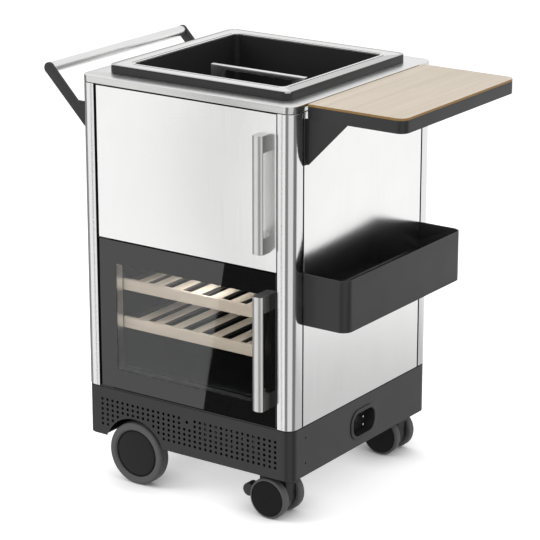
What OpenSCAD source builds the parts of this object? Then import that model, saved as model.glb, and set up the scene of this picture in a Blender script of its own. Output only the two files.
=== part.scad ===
// Mobile bar cart: a square steel case on two fixed wheels and two castors. It has an ice
// basin in the worktop, a solid upper door, a glass lower door with two wine shelves behind
// it, a push handle on the left, and a board and a bottle tray plugged in on the right.
// Millimetres. +X runs right along the front, +Y runs deeper, +Z is up, the floor is z = 0.

/* [Case] */
// Width of the case along its front
case_w = 600; // [580:5:680]
// Depth of the case from front to back
case_d = 600; // [580:5:680]
// Height of the worktop above the floor
worktop_z = 1000; // [980:5:1060]
// Thickness of the worktop
worktop_t = 18; // [14:1:26]
// Height of the shadow line under the worktop
seam_h = 1.5; // [1:0.5:3]
// Depth of the shadow line under the worktop
seam_in = 2; // [1:0.5:2.5]
// Outer radius of the upright corners
corner_r = 25; // [15:1:32]
// Width of a corner post as seen from the front
post_face_w = 40; // [36:1:48]
// Width of a corner post as seen from the side
post_side_w = 44; // [44:1:50]
// Wall of a corner post
post_wall = 3; // [2:0.5:4]
// Thickness of the outer steel panels
panel_t = 2; // [1:0.5:3]
// Depth of the folded edges of the outer panels
panel_fold = 22; // [18:1:24]
// Width of the shadow groove between a post and a panel
groove_w = 5; // [4.5:0.5:6]

/* [Plinth and chassis] */
// Height of the plinth's lower edge above the floor
ground_gap = 110; // [108:1:118]
// Height of the plinth skirt
plinth_h = 125; // [115:1:140]
// Height of the shadow gap above the skirt
skirt_gap = 3; // [1:0.5:4]
// How far the skirt stands back from the posts
skirt_inset = 1; // [0:0.5:3]
// Sheet thickness of the skirt
skirt_t = 2; // [1.5:0.5:3]
// Thickness of the chassis plates
chassis_t = 4; // [3:0.5:6]
// Width of a chassis upright
upright_w = 30; // [24:1:34]
// Centre of a chassis upright inside the case's corner
upright_inset = 28; // [26:1:32]
// Columns of vent holes in the skirt's front
vent_columns = 34; // [20:2:34]
// Rows of vent holes
vent_rows = 6; // [3:1:6]
// Distance between vent columns
vent_pitch_x = 15.4; // [12:0.1:15.6]
// Distance between vent rows
vent_pitch_z = 12.8; // [10:0.1:14]
// Diameter of a vent hole
vent_d = 7.4; // [4:0.2:8]
// Height of the top vent row below the skirt's upper edge
vent_top_drop = 33; // [20:1:40]
// Rows left out above the middle for the fixing hole
vent_skip_rows = 2; // [1:1:3]
// Diameter of the fixing hole in the middle of the vents
fixing_hole_d = 8; // [5:0.5:10]
// Number of slots in the skirt's back
back_slots = 12; // [6:1:16]
// Width of a slot in the skirt's back
back_slot_w = 10; // [6:1:14]
// Height of a slot in the skirt's back
back_slot_h = 40; // [20:1:60]
// Distance between slots in the skirt's back
back_slot_pitch = 22; // [20:1:26]
// Diameter of the screw holes in the skirt's right side
side_hole_d = 5; // [3:0.5:8]
// Distance of the screw holes from the case's front
side_hole_inset = 61; // [50:1:80]

/* [Insulated cabinet] */
// Inner width of the lower cavity
lower_cavity_w = 428; // [412:2:440]
// Room between the basin and the upper cavity's sides
upper_room = 13; // [11:1:18]
// Distance of the cavities' back wall from the case's back
cavity_back = 86; // [86:1:130]
// Height of the lower cavity's top above the window
cavity_over = 19.5; // [12:0.5:26]
// Thickness of the cabinet floor above the deck
floor_core_t = 49; // [44:1:52]
// Thickness of the wall between the two cavities
mullion_core_t = 74; // [68:1:84]
// Wall of a liner
liner_t = 2; // [1:0.5:3]
// Depth of the insulation behind the cavities
back_core_t = 40; // [30:1:40]
// Height of the front frame above the upper opening
header_h = 24; // [22:1:34]

/* [Doors] */
// Thickness of a door
door_t = 30; // [28:0.5:32]
// How far the doors stand back from the posts
door_inset = 3; // [2:0.5:4]
// Gap between a door and what surrounds it
door_gap = 3; // [3:0.5:5]
// Gap between the two doors
split_gap = 4; // [4:0.5:6]
// Plan radius of a door's front edges
door_edge_r = 3; // [3:0.5:4]
// Sheet thickness of the upper door's skin
skin_t = 1.5; // [1:0.5:2]
// Depth of a door gasket
gasket_t = 5; // [4:0.5:6]
// Width of a door gasket
gasket_w = 12; // [8:1:13]
// Distance of the gasket from the door's edge
gasket_edge = 9; // [8:1:10]
// Gap between a closed door's gasket and the front frame
seal_gap = 0.5; // [0.3:0.1:1]
// Distance of the hinge axis from the door's edge
hinge_edge = 8; // [8:0.5:9]
// Distance of the hinge axis behind the door's front
hinge_set = 8; // [8:0.5:9]
// Diameter of a hinge pin
hinge_pin_d = 6; // [4:0.5:6]
// How deep a hinge pin reaches into a door
hinge_pin_l = 12; // [8:1:20]
// Thickness of a hinge plate
hinge_plate_t = 2; // [1.5:0.5:2]
// Width of a hinge plate along the door
hinge_plate_w = 38; // [30:1:60]
// Thickness of the outer glass
glass_t = 4; // [3:0.5:5]
// Thickness of the inner glass
inner_glass_t = 4; // [3:0.5:5]
// Width of the window in the lower door
window_w = 412; // [380:2:420]
// Height of the window in the lower door
window_h = 266; // [250:1:290]
// Height of the lower door's frame below the window
window_up = 48.5; // [40:0.5:60]
// Height of the lower door's frame above the window
window_over = 55.5; // [45:0.5:65]
// Thickness of the window's metal lining
lining_t = 1.5; // [1:0.5:2.5]
// Overlap of the inner glass on the frame
glass_lap = 4; // [3:0.5:6]

/* [Door handles] */
// Length of a door handle
handle_len = 276; // [200:2:320]
// Width of a door handle
handle_w = 28; // [20:1:36]
// How far a door handle stands out from the door
handle_out = 33; // [30:1:50]
// Thickness of a handle's grip bar
handle_bar_t = 9; // [6:0.5:12]
// Height of a handle's end block
handle_block_h = 39; // [20:1:50]
// Distance of a handle from the door's free edge
handle_edge = 20; // [10:1:30]
// Distance of the upper handle above the upper door's lower edge
upper_handle_up = 44; // [20:1:80]
// Distance of the lower handle below the lower door's upper edge
lower_handle_down = 52; // [20:1:80]

/* [Basin] */
// Width of the worktop's margin left and right of the collar
collar_side = 44; // [40:1:56]
// Width of the worktop's margin in front of and behind the collar
collar_front = 50; // [42:1:60]
// Height of the collar above the worktop
collar_h = 16; // [10:0.5:20]
// Corner radius of the collar
collar_r = 20; // [16:1:30]
// Thickness of the metal flange on the collar
flange_t = 3; // [2:0.5:4]
// Width of the collar's rim round the basin's opening
collar_rim = 42; // [38:0.5:50]
// Corner radius of the basin's opening
basin_r = 14; // [10:1:24]
// Depth of the basin below the worktop's upper side
basin_drop = 200; // [120:5:240]
// Wall of the basin
basin_wall = 3; // [2:0.5:3]
// Width of the basin's lip on the worktop
basin_lip = 9; // [6:0.5:12]
// Thickness of the basin's lip
basin_lip_t = 2.5; // [2:0.5:4]
// Basin centre right of the case's centre
basin_x = 0; // [-8:1:8]
// Basin centre in front of the case's centre
basin_forward = 0; // [0:1:16]
// Inner diameter of the drain pipe
drain_bore_d = 20; // [14:1:30]
// Wall of the drain pipe
drain_wall = 2.5; // [2:0.5:5]
// Length of the drain pipe below the basin
drain_len = 55; // [30:1:80]
// Height of the nut under the basin
drain_nut_h = 8; // [5:1:14]
// Width of the drain's flange
drain_flange = 12; // [6:1:16]

/* [Divider] */
// Thickness of the lift-out divider
divider_t = 12; // [8:1:14]
// Width of the divider's grip
grip_w = 270; // [200:2:320]
// Width of a leg of the grip
grip_leg_w = 36; // [20:1:50]
// Height of the grip's opening
grip_open_h = 60; // [40:1:70]
// Height of the grip's top bar
grip_bar_h = 10; // [8:1:16]
// Drop of the grip below the flange
grip_drop = 24; // [10:1:40]
// Grip's centre right of the basin's centre
grip_right = 8; // [0:1:20]
// Divider in front of the basin's centre
divider_forward = 12; // [0:1:40]
// Play between the divider and the basin
divider_play = 1; // [0.5:0.5:3]
// Width of a guide rib on the basin's side walls
guide_rib = 5; // [3:1:8]

/* [Wine shelves] */
// Height of the upper shelf's top above the cavity floor
upper_shelf_up = 220; // [200:1:225]
// Height of the lower shelf's top above the cavity floor
lower_shelf_up = 125; // [90:1:140]
// Room behind a shelf
shelf_room = 17; // [6:1:80]
// Height of a shelf's front rail
rail_h = 28; // [22:1:34]
// Depth of a shelf's front rail
rail_d = 8; // [6:1:18]
// Number of slats
slat_count = 7; // [3:2:7]
// Distance between the inner slats' centres
slat_pitch = 56; // [36:1:58]
// Distance of the outer slats from the shelf's ends
slat_end = 40; // [0:1:44]
// Width of a slat
slat_w = 29; // [16:1:32]
// Thickness of a slat
slat_t = 8; // [6:0.5:10]
// Thickness of a shelf's side member
side_member_h = 12; // [8:1:13]
// Width of a shelf's side member
side_member_w = 14; // [10:1:16]
// Play between a shelf and the cavity's sides
shelf_play = 2; // [1:0.5:4]
// Distance of a shelf's front behind the front frame's face
shelf_set = 0.5; // [0.5:0.5:6]
// Width of a shelf runner
runner_w = 9; // [7:0.5:12]
// Height of a shelf runner
runner_h = 8; // [5:0.5:10]

/* [Side board] */
// Length of the side board along the case
board_len = 492; // [400:2:500]
// Width of the side board out from the case
board_w = 251; // [200:1:320]
// Thickness of the side board
board_t = 6; // [4:0.5:12]
// Radius of the side board's outer corners
board_r = 22; // [12:1:40]
// Gap between the worktop's edge and the side board
board_gap = 5; // [3:0.5:10]
// Height of the board's apron
apron_h = 29; // [20:1:40]
// Sheet thickness of the board's frame
apron_t = 3; // [2:0.5:4]
// Height and width of a gusset below the apron
gusset = 105; // [60:1:140]
// Distance of the board's pegs below the apron
board_peg_drop = 45; // [40:1:60]
// Gap between the case and the plugged-in accessories
wall_gap = 0.4; // [0.3:0.1:1]

/* [Bottle tray] */
// How far the tray stands out from the case
tray_out = 118; // [90:1:160]
// Height of the tray's walls
tray_h = 123; // [80:1:160]
// Height of the tray's underside above the floor
tray_z = 484; // [400:1:600]
// Sheet thickness of the tray
tray_t = 3; // [2:0.5:3]
// Radius of the tray's outer corners
tray_r = 24; // [10:1:40]
// Height of the tray's low back wall
tray_back_h = 60; // [20:1:60]

/* [Plug-in fixing] */
// Diameter of a peg in the side grooves
peg_d = 6; // [4:0.5:8]
// Distance of a peg behind the case's side
peg_set = 10; // [8:0.5:11]
// Play between a peg and the slot that slides over it
peg_play = 0.3; // [0.3:0.05:0.6]
// Distance of the tray's pegs above the tray's underside
tray_peg_up = 75; // [35:1:80]
// How deep a fixing tab reaches into the groove
tab_in = 16; // [14:0.5:18]
// Height of a fixing tab
tab_h = 60; // [30:1:60]

/* [Push handle] */
// Diameter of the push bar
push_bar_d = 26; // [20:1:34]
// Wall of the push bar
push_bar_wall = 2; // [1.5:0.5:4]
// Distance of the push bar's centre from the case's side
push_out = 121; // [80:1:140]
// Height of the push bar's centre above the floor
push_z = 992; // [960:1:1040]
// Radius of an arm's end
arm_end_r = 14; // [13:0.5:18]
// Thickness of an arm
arm_t = 8; // [6:0.5:12]
// Distance of an arm's centre from the case's front or back
arm_inset = 36; // [28:1:40]
// Height of an arm's lower end on the case
arm_foot_z = 851; // [820:1:880]
// Height of an arm's upper end on the case
arm_top_z = 925; // [900:1:950]
// Distance of an arm's bend from the case
arm_bend = 37; // [15:1:45]

/* [Large wheels] */
// Diameter of a large wheel
wheel_d = 156; // [150:2:170]
// Width of a large wheel
wheel_w = 34; // [30:1:44]
// Distance of the large wheels from the case's left side
wheel_inset = 142; // [130:1:170]
// Thickness of a large wheel's tyre
tyre_t = 19; // [12:1:26]
// Shoulder radius of the tyre
tyre_r = 7; // [3:0.5:9]
// Gap between a large wheel and the plinth's arch
arch_gap = 12; // [6:1:16]
// Distance of a large wheel's face behind the skirt's face
wheel_set = 2; // [1:0.5:6]
// Diameter of the wheel axle
axle_d = 12; // [10:0.5:16]
// Running clearance of a shaft in its bore
run_clear = 0.05; // [0.02:0.01:0.08]
// Thickness of an axle bracket
bracket_t = 6; // [4:0.5:8]
// Distance of an axle bracket's middle behind the wheel
bracket_gap = 15; // [10:1:24]
// Depth of the axle's end inside the wheel's outer face
axle_end = 8; // [7:1:14]

/* [Castors] */
// Diameter of a castor wheel
castor_d = 100; // [94:1:104]
// Overall width of a castor
castor_w = 86; // [78:1:90]
// Width of one castor wheel
castor_wheel_w = 22; // [18:1:24]
// Distance of a castor wheel's centre behind the swivel axis
castor_trail = 21; // [16:1:26]
// Swivel axis inside the case's right side
castor_inset_x = 55; // [52:1:70]
// Swivel axis inside the case's front or back
castor_inset_y = 54; // [50:1:80]
// Diameter of the swivel stem
stem_d = 18; // [12:1:24]
// Diameter of a castor's axle
castor_axle_d = 10; // [8:0.5:12]
// Radius of a castor's housing round its axle
housing_r = 40; // [34:1:42]
// Gap between a castor wheel and its housing
castor_gap = 0.5; // [0.3:0.1:1]
// Reach of a brake pedal beyond the castor wheel
pedal_reach = 40; // [34:1:50]
// Width of a brake pedal
pedal_w = 25; // [16:1:26]
// Radius of a brake pedal's round end
pedal_tip_r = 16; // [12:0.5:18]
// Height of the middle of a brake pedal's end above the floor
pedal_tip_z = 46; // [42:1:54]
// Thickness of a brake pedal's arm
pedal_arm_t = 12; // [8:0.5:13]
// Diameter of a brake pedal's pin
pedal_pin_d = 5; // [4:0.5:6]

/* [Power inlet] */
// Width of the inlet's bezel
inlet_w = 114; // [90:1:120]
// Height of the inlet's bezel
inlet_h = 78; // [70:1:96]
// Corner radius of the inlet's bezel
inlet_r = 34; // [20:1:38]
// Width of the inlet's rim
inlet_rim = 7; // [4:0.5:10]
// How far the inlet's rim stands proud
inlet_proud = 2; // [1:0.5:4]
// Depth of the inlet's recess
inlet_depth = 30; // [20:1:40]
// Wall of the inlet's recess
inlet_wall = 3; // [2:0.5:4]
// Height of the inlet's centre above the skirt's lower edge
inlet_up = 55; // [50:1:70]
// Inlet centre behind the case's middle
inlet_y = 10; // [-40:1:60]
// Diameter of an inlet pin
inlet_pin_d = 4.8; // [4:0.2:6]
// Distance between the inlet's pins
inlet_pin_pitch = 20; // [14:1:24]
// Distance of the pins behind the inlet's centre
inlet_pin_y = 8; // [0:1:12]
// Depth of the pins' tips inside the skirt's face
inlet_pin_set = 6; // [2:1:12]
// Length of a pin behind the recess
inlet_pin_tail = 8; // [5:1:14]

/* [Cooling unit] */
// Diameter of the compressor
compressor_d = 104; // [80:1:120]
// Height of the compressor
compressor_h = 92; // [70:1:100]
// Width and height of the fan
fan_size = 92; // [80:1:100]
// Depth of the fan
fan_depth = 25; // [20:1:30]
// Diameter of the fan's hub
fan_hub_d = 30; // [20:1:40]
// Diameter of the fan's bearing pin
fan_pin_d = 6; // [4:0.5:8]
// Number of fan blades
fan_blades = 7; // [5:1:9]
// Width of the condenser
condenser_w = 170; // [120:2:200]
// Depth of the condenser
condenser_d = 34; // [20:1:40]
// Number of condenser fins
condenser_fins = 18; // [8:1:24]
// Thickness of a condenser fin
fin_t = 1.2; // [0.8:0.1:2]
// Diameter of a condenser pipe
pipe_d = 8; // [6:0.5:12]
// Width of the control box
control_w = 55; // [40:1:60]
// Depth of the control box
control_d = 110; // [80:1:120]
// Height of the control box
control_h = 60; // [40:1:80]

/* [Hidden] */
$fn = 48;

// Cut allowance that takes a cutter past the face it cuts
past = 1;

// Case faces
side_x = case_w / 2;
front_y = -case_d / 2;
back_y = case_d / 2;
plinth_top = ground_gap + plinth_h;
worktop_under = worktop_z - worktop_t;
post_h = worktop_under - plinth_top;
post_in_x = side_x - post_face_w;
post_in_y = case_d / 2 - post_side_w;
panel_half = post_in_y - groove_w;

// Doors and the frame that they close on
door_w = case_w - 2 * (post_face_w + door_gap);
door_front = front_y + door_inset;
door_back = door_front + door_t;
lower_door_z = plinth_top + door_gap;
lower_door_h = window_up + window_h + window_over;
window_z = lower_door_z + window_up;
upper_door_z = lower_door_z + lower_door_h + split_gap;
upper_door_h = worktop_under - door_gap - upper_door_z;
frame_front = door_back + gasket_t + seal_gap;
frame_back = front_y + post_side_w;
hinge_x = -door_w / 2 + hinge_edge;
hinge_y = door_front + hinge_set;
handle_x = door_w / 2 - handle_edge - handle_w;
upper_handle_z = upper_door_z + upper_handle_up;
lower_handle_z = lower_door_z + lower_door_h - lower_handle_down - handle_len;

// Cavities
cavity_y = back_y - cavity_back;
lower_floor = plinth_top + floor_core_t + liner_t;
lower_top = window_z + window_h + cavity_over;
mullion_z = lower_top + liner_t;
upper_floor = mullion_z + mullion_core_t + liner_t;
core_out = side_x - panel_fold - panel_t;

// Basin
collar_w = case_w - 2 * collar_side;
collar_d = case_d - 2 * collar_front;
basin_w = collar_w - 2 * collar_rim;
basin_d = collar_d - 2 * collar_rim;
basin_y = -basin_forward;
upper_cavity_w = basin_w + 2 * (basin_wall + upper_room);
basin_floor = worktop_z - basin_drop;
flange_z = worktop_z + collar_h;
cutout_play = 2;
divider_top = flange_z + flange_t - grip_drop;

// Shelves
shelf_w = lower_cavity_w - 2 * shelf_play;
shelf_front = frame_front + shelf_set;
shelf_d = cavity_y - shelf_front - shelf_room;
upper_shelf_z = lower_floor + upper_shelf_up;
lower_shelf_z = lower_floor + lower_shelf_up;
rest_gap = 0.3;

// Plug-in accessories
tab_y = panel_half + groove_w / 2;
board_x = side_x + board_gap;
board_out = board_x + board_w;
board_under = worktop_z - board_t;
apron_z = board_under - apron_h;
tray_half = tab_y + tray_t / 2;
board_peg_z = apron_z - board_peg_drop;
tray_peg_z = tray_z + tray_peg_up;

// Large wheels
wheel_x = -side_x + wheel_inset;
wheel_z = wheel_d / 2;
wheel_out = case_d / 2 - skirt_inset - wheel_set;
arch_r = wheel_z + arch_gap;
bracket_y = wheel_out - wheel_w - bracket_gap;
axle_half = wheel_out - axle_end;

// Castors
castor_x = side_x - castor_inset_x;
castor_y = case_d / 2 - castor_inset_y;
castor_z = castor_d / 2;
castor_core_w = castor_w - 2 * castor_wheel_w - 2 * castor_gap;
housing_top = ground_gap - 12;
pedal_pin_z = castor_z + 30;
pedal_pin_out = 24;
pedal_notch = 8;
stem_collar_d = 40;

// Push bar
push_x = -side_x - push_out;
arm_y = case_d / 2 - arm_inset;
arm_blend = 0.4;

// Machine space
pan_top = ground_gap + chassis_t;
deck_under = plinth_top - chassis_t;
inlet_z = ground_gap + inlet_up;
fan_x = 90;
fan_y = front_y + 90;
fan_z = pan_top + 8 + fan_size / 2;
condenser_gap = 2;
pipe_out = 6;
compressor_y = 130;
compressor_foot_t = 6;
compressor_foot_out = 3;
control_x = -40;
control_y = 120;

// Places the case so that the row's origin lies under the middle of the whole cart
cart_left = push_x - arm_end_r;
cart_right = board_out;
cart_front = door_front - handle_out;
origin_x = (cart_left + cart_right) / 2;
origin_y = (cart_front + back_y) / 2;
echo(origin_x = origin_x, origin_y = origin_y);
echo(hinge = [hinge_x - origin_x, hinge_y - origin_y]);
echo(wheel = [wheel_x - origin_x, wheel_z, wheel_out - wheel_w / 2]);
echo(castor = [castor_x - origin_x, castor_y, castor_z]);
echo(pedal_pin = [castor_trail + pedal_pin_out, pedal_pin_z]);
echo(basin = [basin_x - origin_x, basin_y - origin_y, basin_floor, divider_top]);
echo(fan = [fan_x - origin_x, fan_y - origin_y, fan_z]);
echo(cavities = [lower_floor, lower_top, upper_floor, cavity_y - origin_y, frame_back - origin_y]);

module placed() {
    translate([-origin_x, -origin_y, 0]) children();
}

// Flat rectangle with four round corners, centred
module round_rect(w, d, r) {
    square([w - 2 * r, d], center = true);
    square([w, d - 2 * r], center = true);
    for (i = [-1, 1], j = [-1, 1])
        translate([i * (w / 2 - r), j * (d / 2 - r)]) circle(r);
}

// Upright block with round corners, centred in plan
module round_block(w, d, h, r) {
    linear_extrude(h) round_rect(w, d, r);
}

// Upright ring with round corners inside and out
module round_ring(w, d, h, r, inner_w, inner_d, inner_r) {
    linear_extrude(h) difference() {
        round_rect(w, d, r);
        round_rect(inner_w, inner_d, inner_r);
    }
}

// Block between two corners
module span(low, high) {
    translate(low) cube(high - low);
}

// Cylinder along Y, centred on y = 0
module rod_y(d, l) {
    rotate([90, 0, 0]) cylinder(d = d, h = l, center = true);
}

// Cylinder along X, from x = 0
module rod_x(d, l) {
    rotate([0, 90, 0]) cylinder(d = d, h = l);
}

// Chassis plate inside the skirt, with its underside at height z
module chassis_plate(z) {
    inset = skirt_inset + skirt_t + rest_gap;
    translate([0, 0, z])
        round_block(case_w - 2 * inset, case_d - 2 * inset, chassis_t, corner_r - inset);
}

// Chassis pan with the axle brackets, the wheel slots and the castors' stem holes
module chassis_pan() {
    slot_y = bracket_y + bracket_t;
    color("dimgray") difference() {
        union() {
            chassis_plate(ground_gap);
            for (j = [-1, 1])
                translate([wheel_x, j * bracket_y, 0])
                    span([-axle_d * 1.5, -bracket_t / 2, wheel_z - axle_d],
                         [axle_d * 1.5, bracket_t / 2, ground_gap + past]);
        }
        for (j = [0, 1]) mirror([0, j, 0])
            translate([wheel_x, 0, ground_gap - past])
                span([-arch_r, slot_y, 0], [arch_r, case_d, chassis_t + 2 * past]);
        for (j = [-1, 1])
            translate([castor_x, j * castor_y, ground_gap - past])
                cylinder(d = stem_d + 2 * run_clear, h = chassis_t + 2 * past);
        translate([wheel_x, 0, wheel_z]) rod_y(axle_d + 2 * run_clear, case_d);
    }
}

// Chassis deck that carries the cabinet, welded on four uprights that stand on the pan
module chassis_deck() {
    color("dimgray") {
        chassis_plate(deck_under);
        for (i = [-1, 1], j = [-1, 1])
            translate([i * (side_x - upright_inset), j * (back_y - upright_inset), 0])
                span([-upright_w / 2, -upright_w / 2, pan_top],
                     [upright_w / 2, upright_w / 2, deck_under + past]);
    }
}

// Places of the vent holes that the skirt's front keeps
function vent_x(i) = (i - (vent_columns - 1) / 2) * vent_pitch_x;
function vent_z(k) = plinth_top - vent_top_drop - k * vent_pitch_z;
function vent_kept(i, k) =
    norm([vent_x(i) - wheel_x, vent_z(k) - wheel_z]) > arch_r + vent_d / 2 + 2
    && vent_z(k) > ground_gap + vent_d
    && !(abs(vent_x(i)) < vent_pitch_x && k < vent_skip_rows);

// Plinth skirt: perforated in front, slotted behind, with wheel arches
module plinth_skirt() {
    skirt_w = case_w - 2 * skirt_inset;
    skirt_d = case_d - 2 * skirt_inset;
    skirt_r = corner_r - skirt_inset;
    fixing_z = vent_z((vent_skip_rows - 1) / 2);
    color([0.16, 0.16, 0.17]) difference() {
        translate([0, 0, ground_gap])
            round_ring(skirt_w, skirt_d, plinth_h - skirt_gap, skirt_r,
                       skirt_w - 2 * skirt_t, skirt_d - 2 * skirt_t, skirt_r - skirt_t);
        translate([wheel_x, 0, wheel_z]) rod_y(2 * arch_r, case_d + 2 * past);
        for (i = [0 : vent_columns - 1], k = [0 : vent_rows - 1])
            if (vent_kept(i, k))
                translate([vent_x(i), front_y + skirt_inset + skirt_t / 2, vent_z(k)])
                    rod_y(vent_d, skirt_t + 2 * past);
        translate([0, front_y + skirt_inset + skirt_t / 2, fixing_z])
            rod_y(fixing_hole_d, skirt_t + 2 * past);
        for (i = [0 : back_slots - 1])
            translate([(i - (back_slots - 1) / 2) * back_slot_pitch + back_slot_pitch * 2,
                       back_y - skirt_inset - skirt_t / 2, ground_gap + plinth_h / 2])
                cube([back_slot_w, skirt_t + 2 * past, back_slot_h], center = true);
        for (k = [0.25, 0.75])
            translate([side_x - skirt_inset - skirt_t - past,
                       front_y + side_hole_inset, ground_gap + k * plinth_h])
                rod_x(side_hole_d, skirt_t + 2 * past);
        translate([side_x - skirt_inset - skirt_t - past, inlet_y, inlet_z])
            inlet_outline(inlet_w - 2 * inlet_rim + 2 * rest_gap,
                          inlet_h - 2 * inlet_rim + 2 * rest_gap,
                          inlet_r - inlet_rim + rest_gap, skirt_t + 2 * past);
    }
}

// Fixed axle of the large wheels
module wheel_axle() {
    color("gray") translate([wheel_x, 0, wheel_z]) rod_y(axle_d, 2 * axle_half);
}

// Corner post: hollow, rounded at the case's corner; i and j give the corner
module post(i, j) {
    color([0.86, 0.86, 0.86]) translate([0, 0, plinth_top]) linear_extrude(post_h)
        mirror([i < 0 ? 1 : 0, 0]) mirror([0, j < 0 ? 1 : 0]) difference() {
            intersection() {
                round_rect(case_w, case_d, corner_r);
                translate([post_in_x, post_in_y]) square([post_face_w, post_side_w]);
            }
            intersection() {
                round_rect(case_w - 2 * post_wall, case_d - 2 * post_wall, corner_r - post_wall);
                translate([post_in_x + post_wall, post_in_y + post_wall])
                    square([post_face_w, post_side_w]);
            }
        }
}

// Folded steel panel, flat at x = 0 and folded inwards towards -X
module folded_panel(half) {
    color([0.9, 0.9, 0.9]) translate([0, 0, plinth_top]) difference() {
        span([-panel_fold, -half, 0], [0, half, post_h]);
        span([-panel_fold - past, -half + panel_t, panel_t],
             [-panel_t, half - panel_t, post_h - panel_t]);
    }
}

module side_panel_right() {
    translate([side_x, 0, 0]) folded_panel(panel_half);
}

module side_panel_left() {
    mirror([1, 0, 0]) side_panel_right();
}

module back_panel() {
    translate([0, back_y, 0]) rotate([0, 0, 90])
        folded_panel(post_in_x - groove_w);
}

// Insulation slabs: floor, back, mullion and the sides of both cavities
module insulation() {
    core_back = cavity_y + liner_t;
    lower_in = lower_cavity_w / 2 + liner_t;
    upper_in = upper_cavity_w / 2 + liner_t;
    in_x = lower_in - rest_gap;
    slab_back = core_back - rest_gap;
    color("khaki") {
        span([-in_x, frame_back, plinth_top], [in_x, slab_back, lower_floor - liner_t]);
        span([-core_out, core_back, plinth_top], [core_out, core_back + back_core_t, worktop_under]);
        span([-in_x, frame_back, mullion_z], [in_x, slab_back, upper_floor - liner_t]);
        for (i = [0, 1]) mirror([i, 0, 0]) {
            span([lower_in, frame_back, plinth_top],
                 [core_out, slab_back, upper_floor - liner_t - rest_gap]);
            span([upper_in, frame_back, upper_floor - liner_t],
                 [core_out, slab_back, worktop_under]);
        }
    }
}

// Front frame that the gaskets close on, with the two openings
module front_frame() {
    half = lower_cavity_w / 2;
    color([0.15, 0.15, 0.16]) difference() {
        span([-post_in_x, frame_front, plinth_top], [post_in_x, frame_back, worktop_under]);
        span([-half, frame_front - past, lower_floor], [half, frame_back + past, lower_top]);
        span([-half, frame_front - past, upper_floor],
             [half, frame_back + past, worktop_under - header_h]);
    }
}

// Liner: floor, sides and back, open in front and, where top is false, above
module liner(w, z0, z1, top) {
    color("white") difference() {
        span([-w / 2 - liner_t, frame_back, z0 - liner_t],
             [w / 2 + liner_t, cavity_y + liner_t, z1 + (top ? liner_t : 0)]);
        span([-w / 2, frame_back - past, z0], [w / 2, cavity_y, z1 + (top ? 0 : past)]);
    }
}

module upper_liner() {
    liner(upper_cavity_w, upper_floor, worktop_under, false);
}

module lower_liner() {
    liner(lower_cavity_w, lower_floor, lower_top, true);
}

// Runners that carry the shelves' side members
module shelf_runners() {
    color("gainsboro")
        for (i = [0, 1], top = [upper_shelf_z, lower_shelf_z]) mirror([i, 0, 0])
            span([lower_cavity_w / 2 - runner_w, shelf_front + rail_d + 2,
                  top - slat_t - side_member_h - rest_gap - runner_h],
                 [lower_cavity_w / 2, cavity_y,
                  top - slat_t - side_member_h - rest_gap]);
}

// Worktop with the cut-out for the basin
module worktop() {
    cut_w = basin_w + 2 * (basin_wall + cutout_play);
    cut_d = basin_d + 2 * (basin_wall + cutout_play);
    color([0.88, 0.88, 0.87]) translate([0, 0, worktop_under]) difference() {
        union() {
            translate([0, 0, seam_h])
                round_block(case_w, case_d, worktop_t - seam_h, corner_r);
            round_block(case_w - 2 * seam_in, case_d - 2 * seam_in, seam_h + past,
                        corner_r - seam_in);
        }
        translate([basin_x, basin_y, -past])
            round_block(cut_w, cut_d, worktop_t + 2 * past, basin_r + basin_wall);
    }
}

// Black collar round the basin
module basin_collar() {
    in_w = basin_w + 2 * (basin_wall + basin_lip + rest_gap);
    in_d = basin_d + 2 * (basin_wall + basin_lip + rest_gap);
    color([0.14, 0.14, 0.15]) translate([basin_x, basin_y, worktop_z])
        round_ring(collar_w, collar_d, collar_h, collar_r, in_w, in_d, basin_r);
}

// Light metal flange on top of the collar
module basin_flange() {
    color([0.85, 0.85, 0.84]) translate([basin_x, basin_y, flange_z])
        round_ring(collar_w, collar_d, flange_t, collar_r, basin_w, basin_d, basin_r);
}

// Black tub that hangs in the worktop, with guide ribs and a drain hole
module basin_tub() {
    out_w = basin_w + 2 * basin_wall;
    out_d = basin_d + 2 * basin_wall;
    slot = divider_t + 2 * divider_play;
    color([0.12, 0.12, 0.13]) translate([basin_x, basin_y, 0]) difference() {
        union() {
            difference() {
                union() {
                    translate([0, 0, basin_floor - basin_wall])
                        round_block(out_w, out_d, flange_z - basin_floor + basin_wall,
                                    basin_r + basin_wall);
                    translate([0, 0, worktop_z])
                        round_block(out_w + 2 * basin_lip, out_d + 2 * basin_lip, basin_lip_t,
                                    basin_r + basin_wall);
                }
                translate([0, 0, basin_floor])
                    round_block(basin_w, basin_d, flange_z - basin_floor + past, basin_r);
            }
            for (i = [-1, 1], j = [-1, 1])
                translate([i * (basin_w / 2 - guide_rib / 2),
                           j * (slot + guide_rib) / 2 - divider_forward, 0])
                    span([-guide_rib / 2 - past, -guide_rib / 2, basin_floor - past],
                         [guide_rib / 2 + past, guide_rib / 2, divider_body_top()]);
        }
        translate([0, -basin_d / 4, basin_floor - basin_wall - past])
            cylinder(d = drain_bore_d + 2 * (drain_wall + rest_gap), h = basin_wall + 2 * past);
    }
}

// Drain: flange on the basin floor, nut below it and a spigot for a hose
module basin_drain() {
    color("silver") translate([basin_x, basin_y - basin_d / 4, 0]) difference() {
        union() {
            translate([0, 0, basin_floor])
                cylinder(d = drain_bore_d + 2 * (drain_wall + drain_flange), h = 2);
            translate([0, 0, basin_floor - drain_len])
                cylinder(d = drain_bore_d + 2 * drain_wall, h = drain_len + past);
            translate([0, 0, basin_floor - basin_wall - drain_nut_h])
                cylinder(d = drain_bore_d + 2 * (drain_wall + drain_flange), h = drain_nut_h);
        }
        translate([0, 0, basin_floor - drain_len - past])
            cylinder(d = drain_bore_d, h = drain_len + 2 + 2 * past);
    }
}

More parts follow.
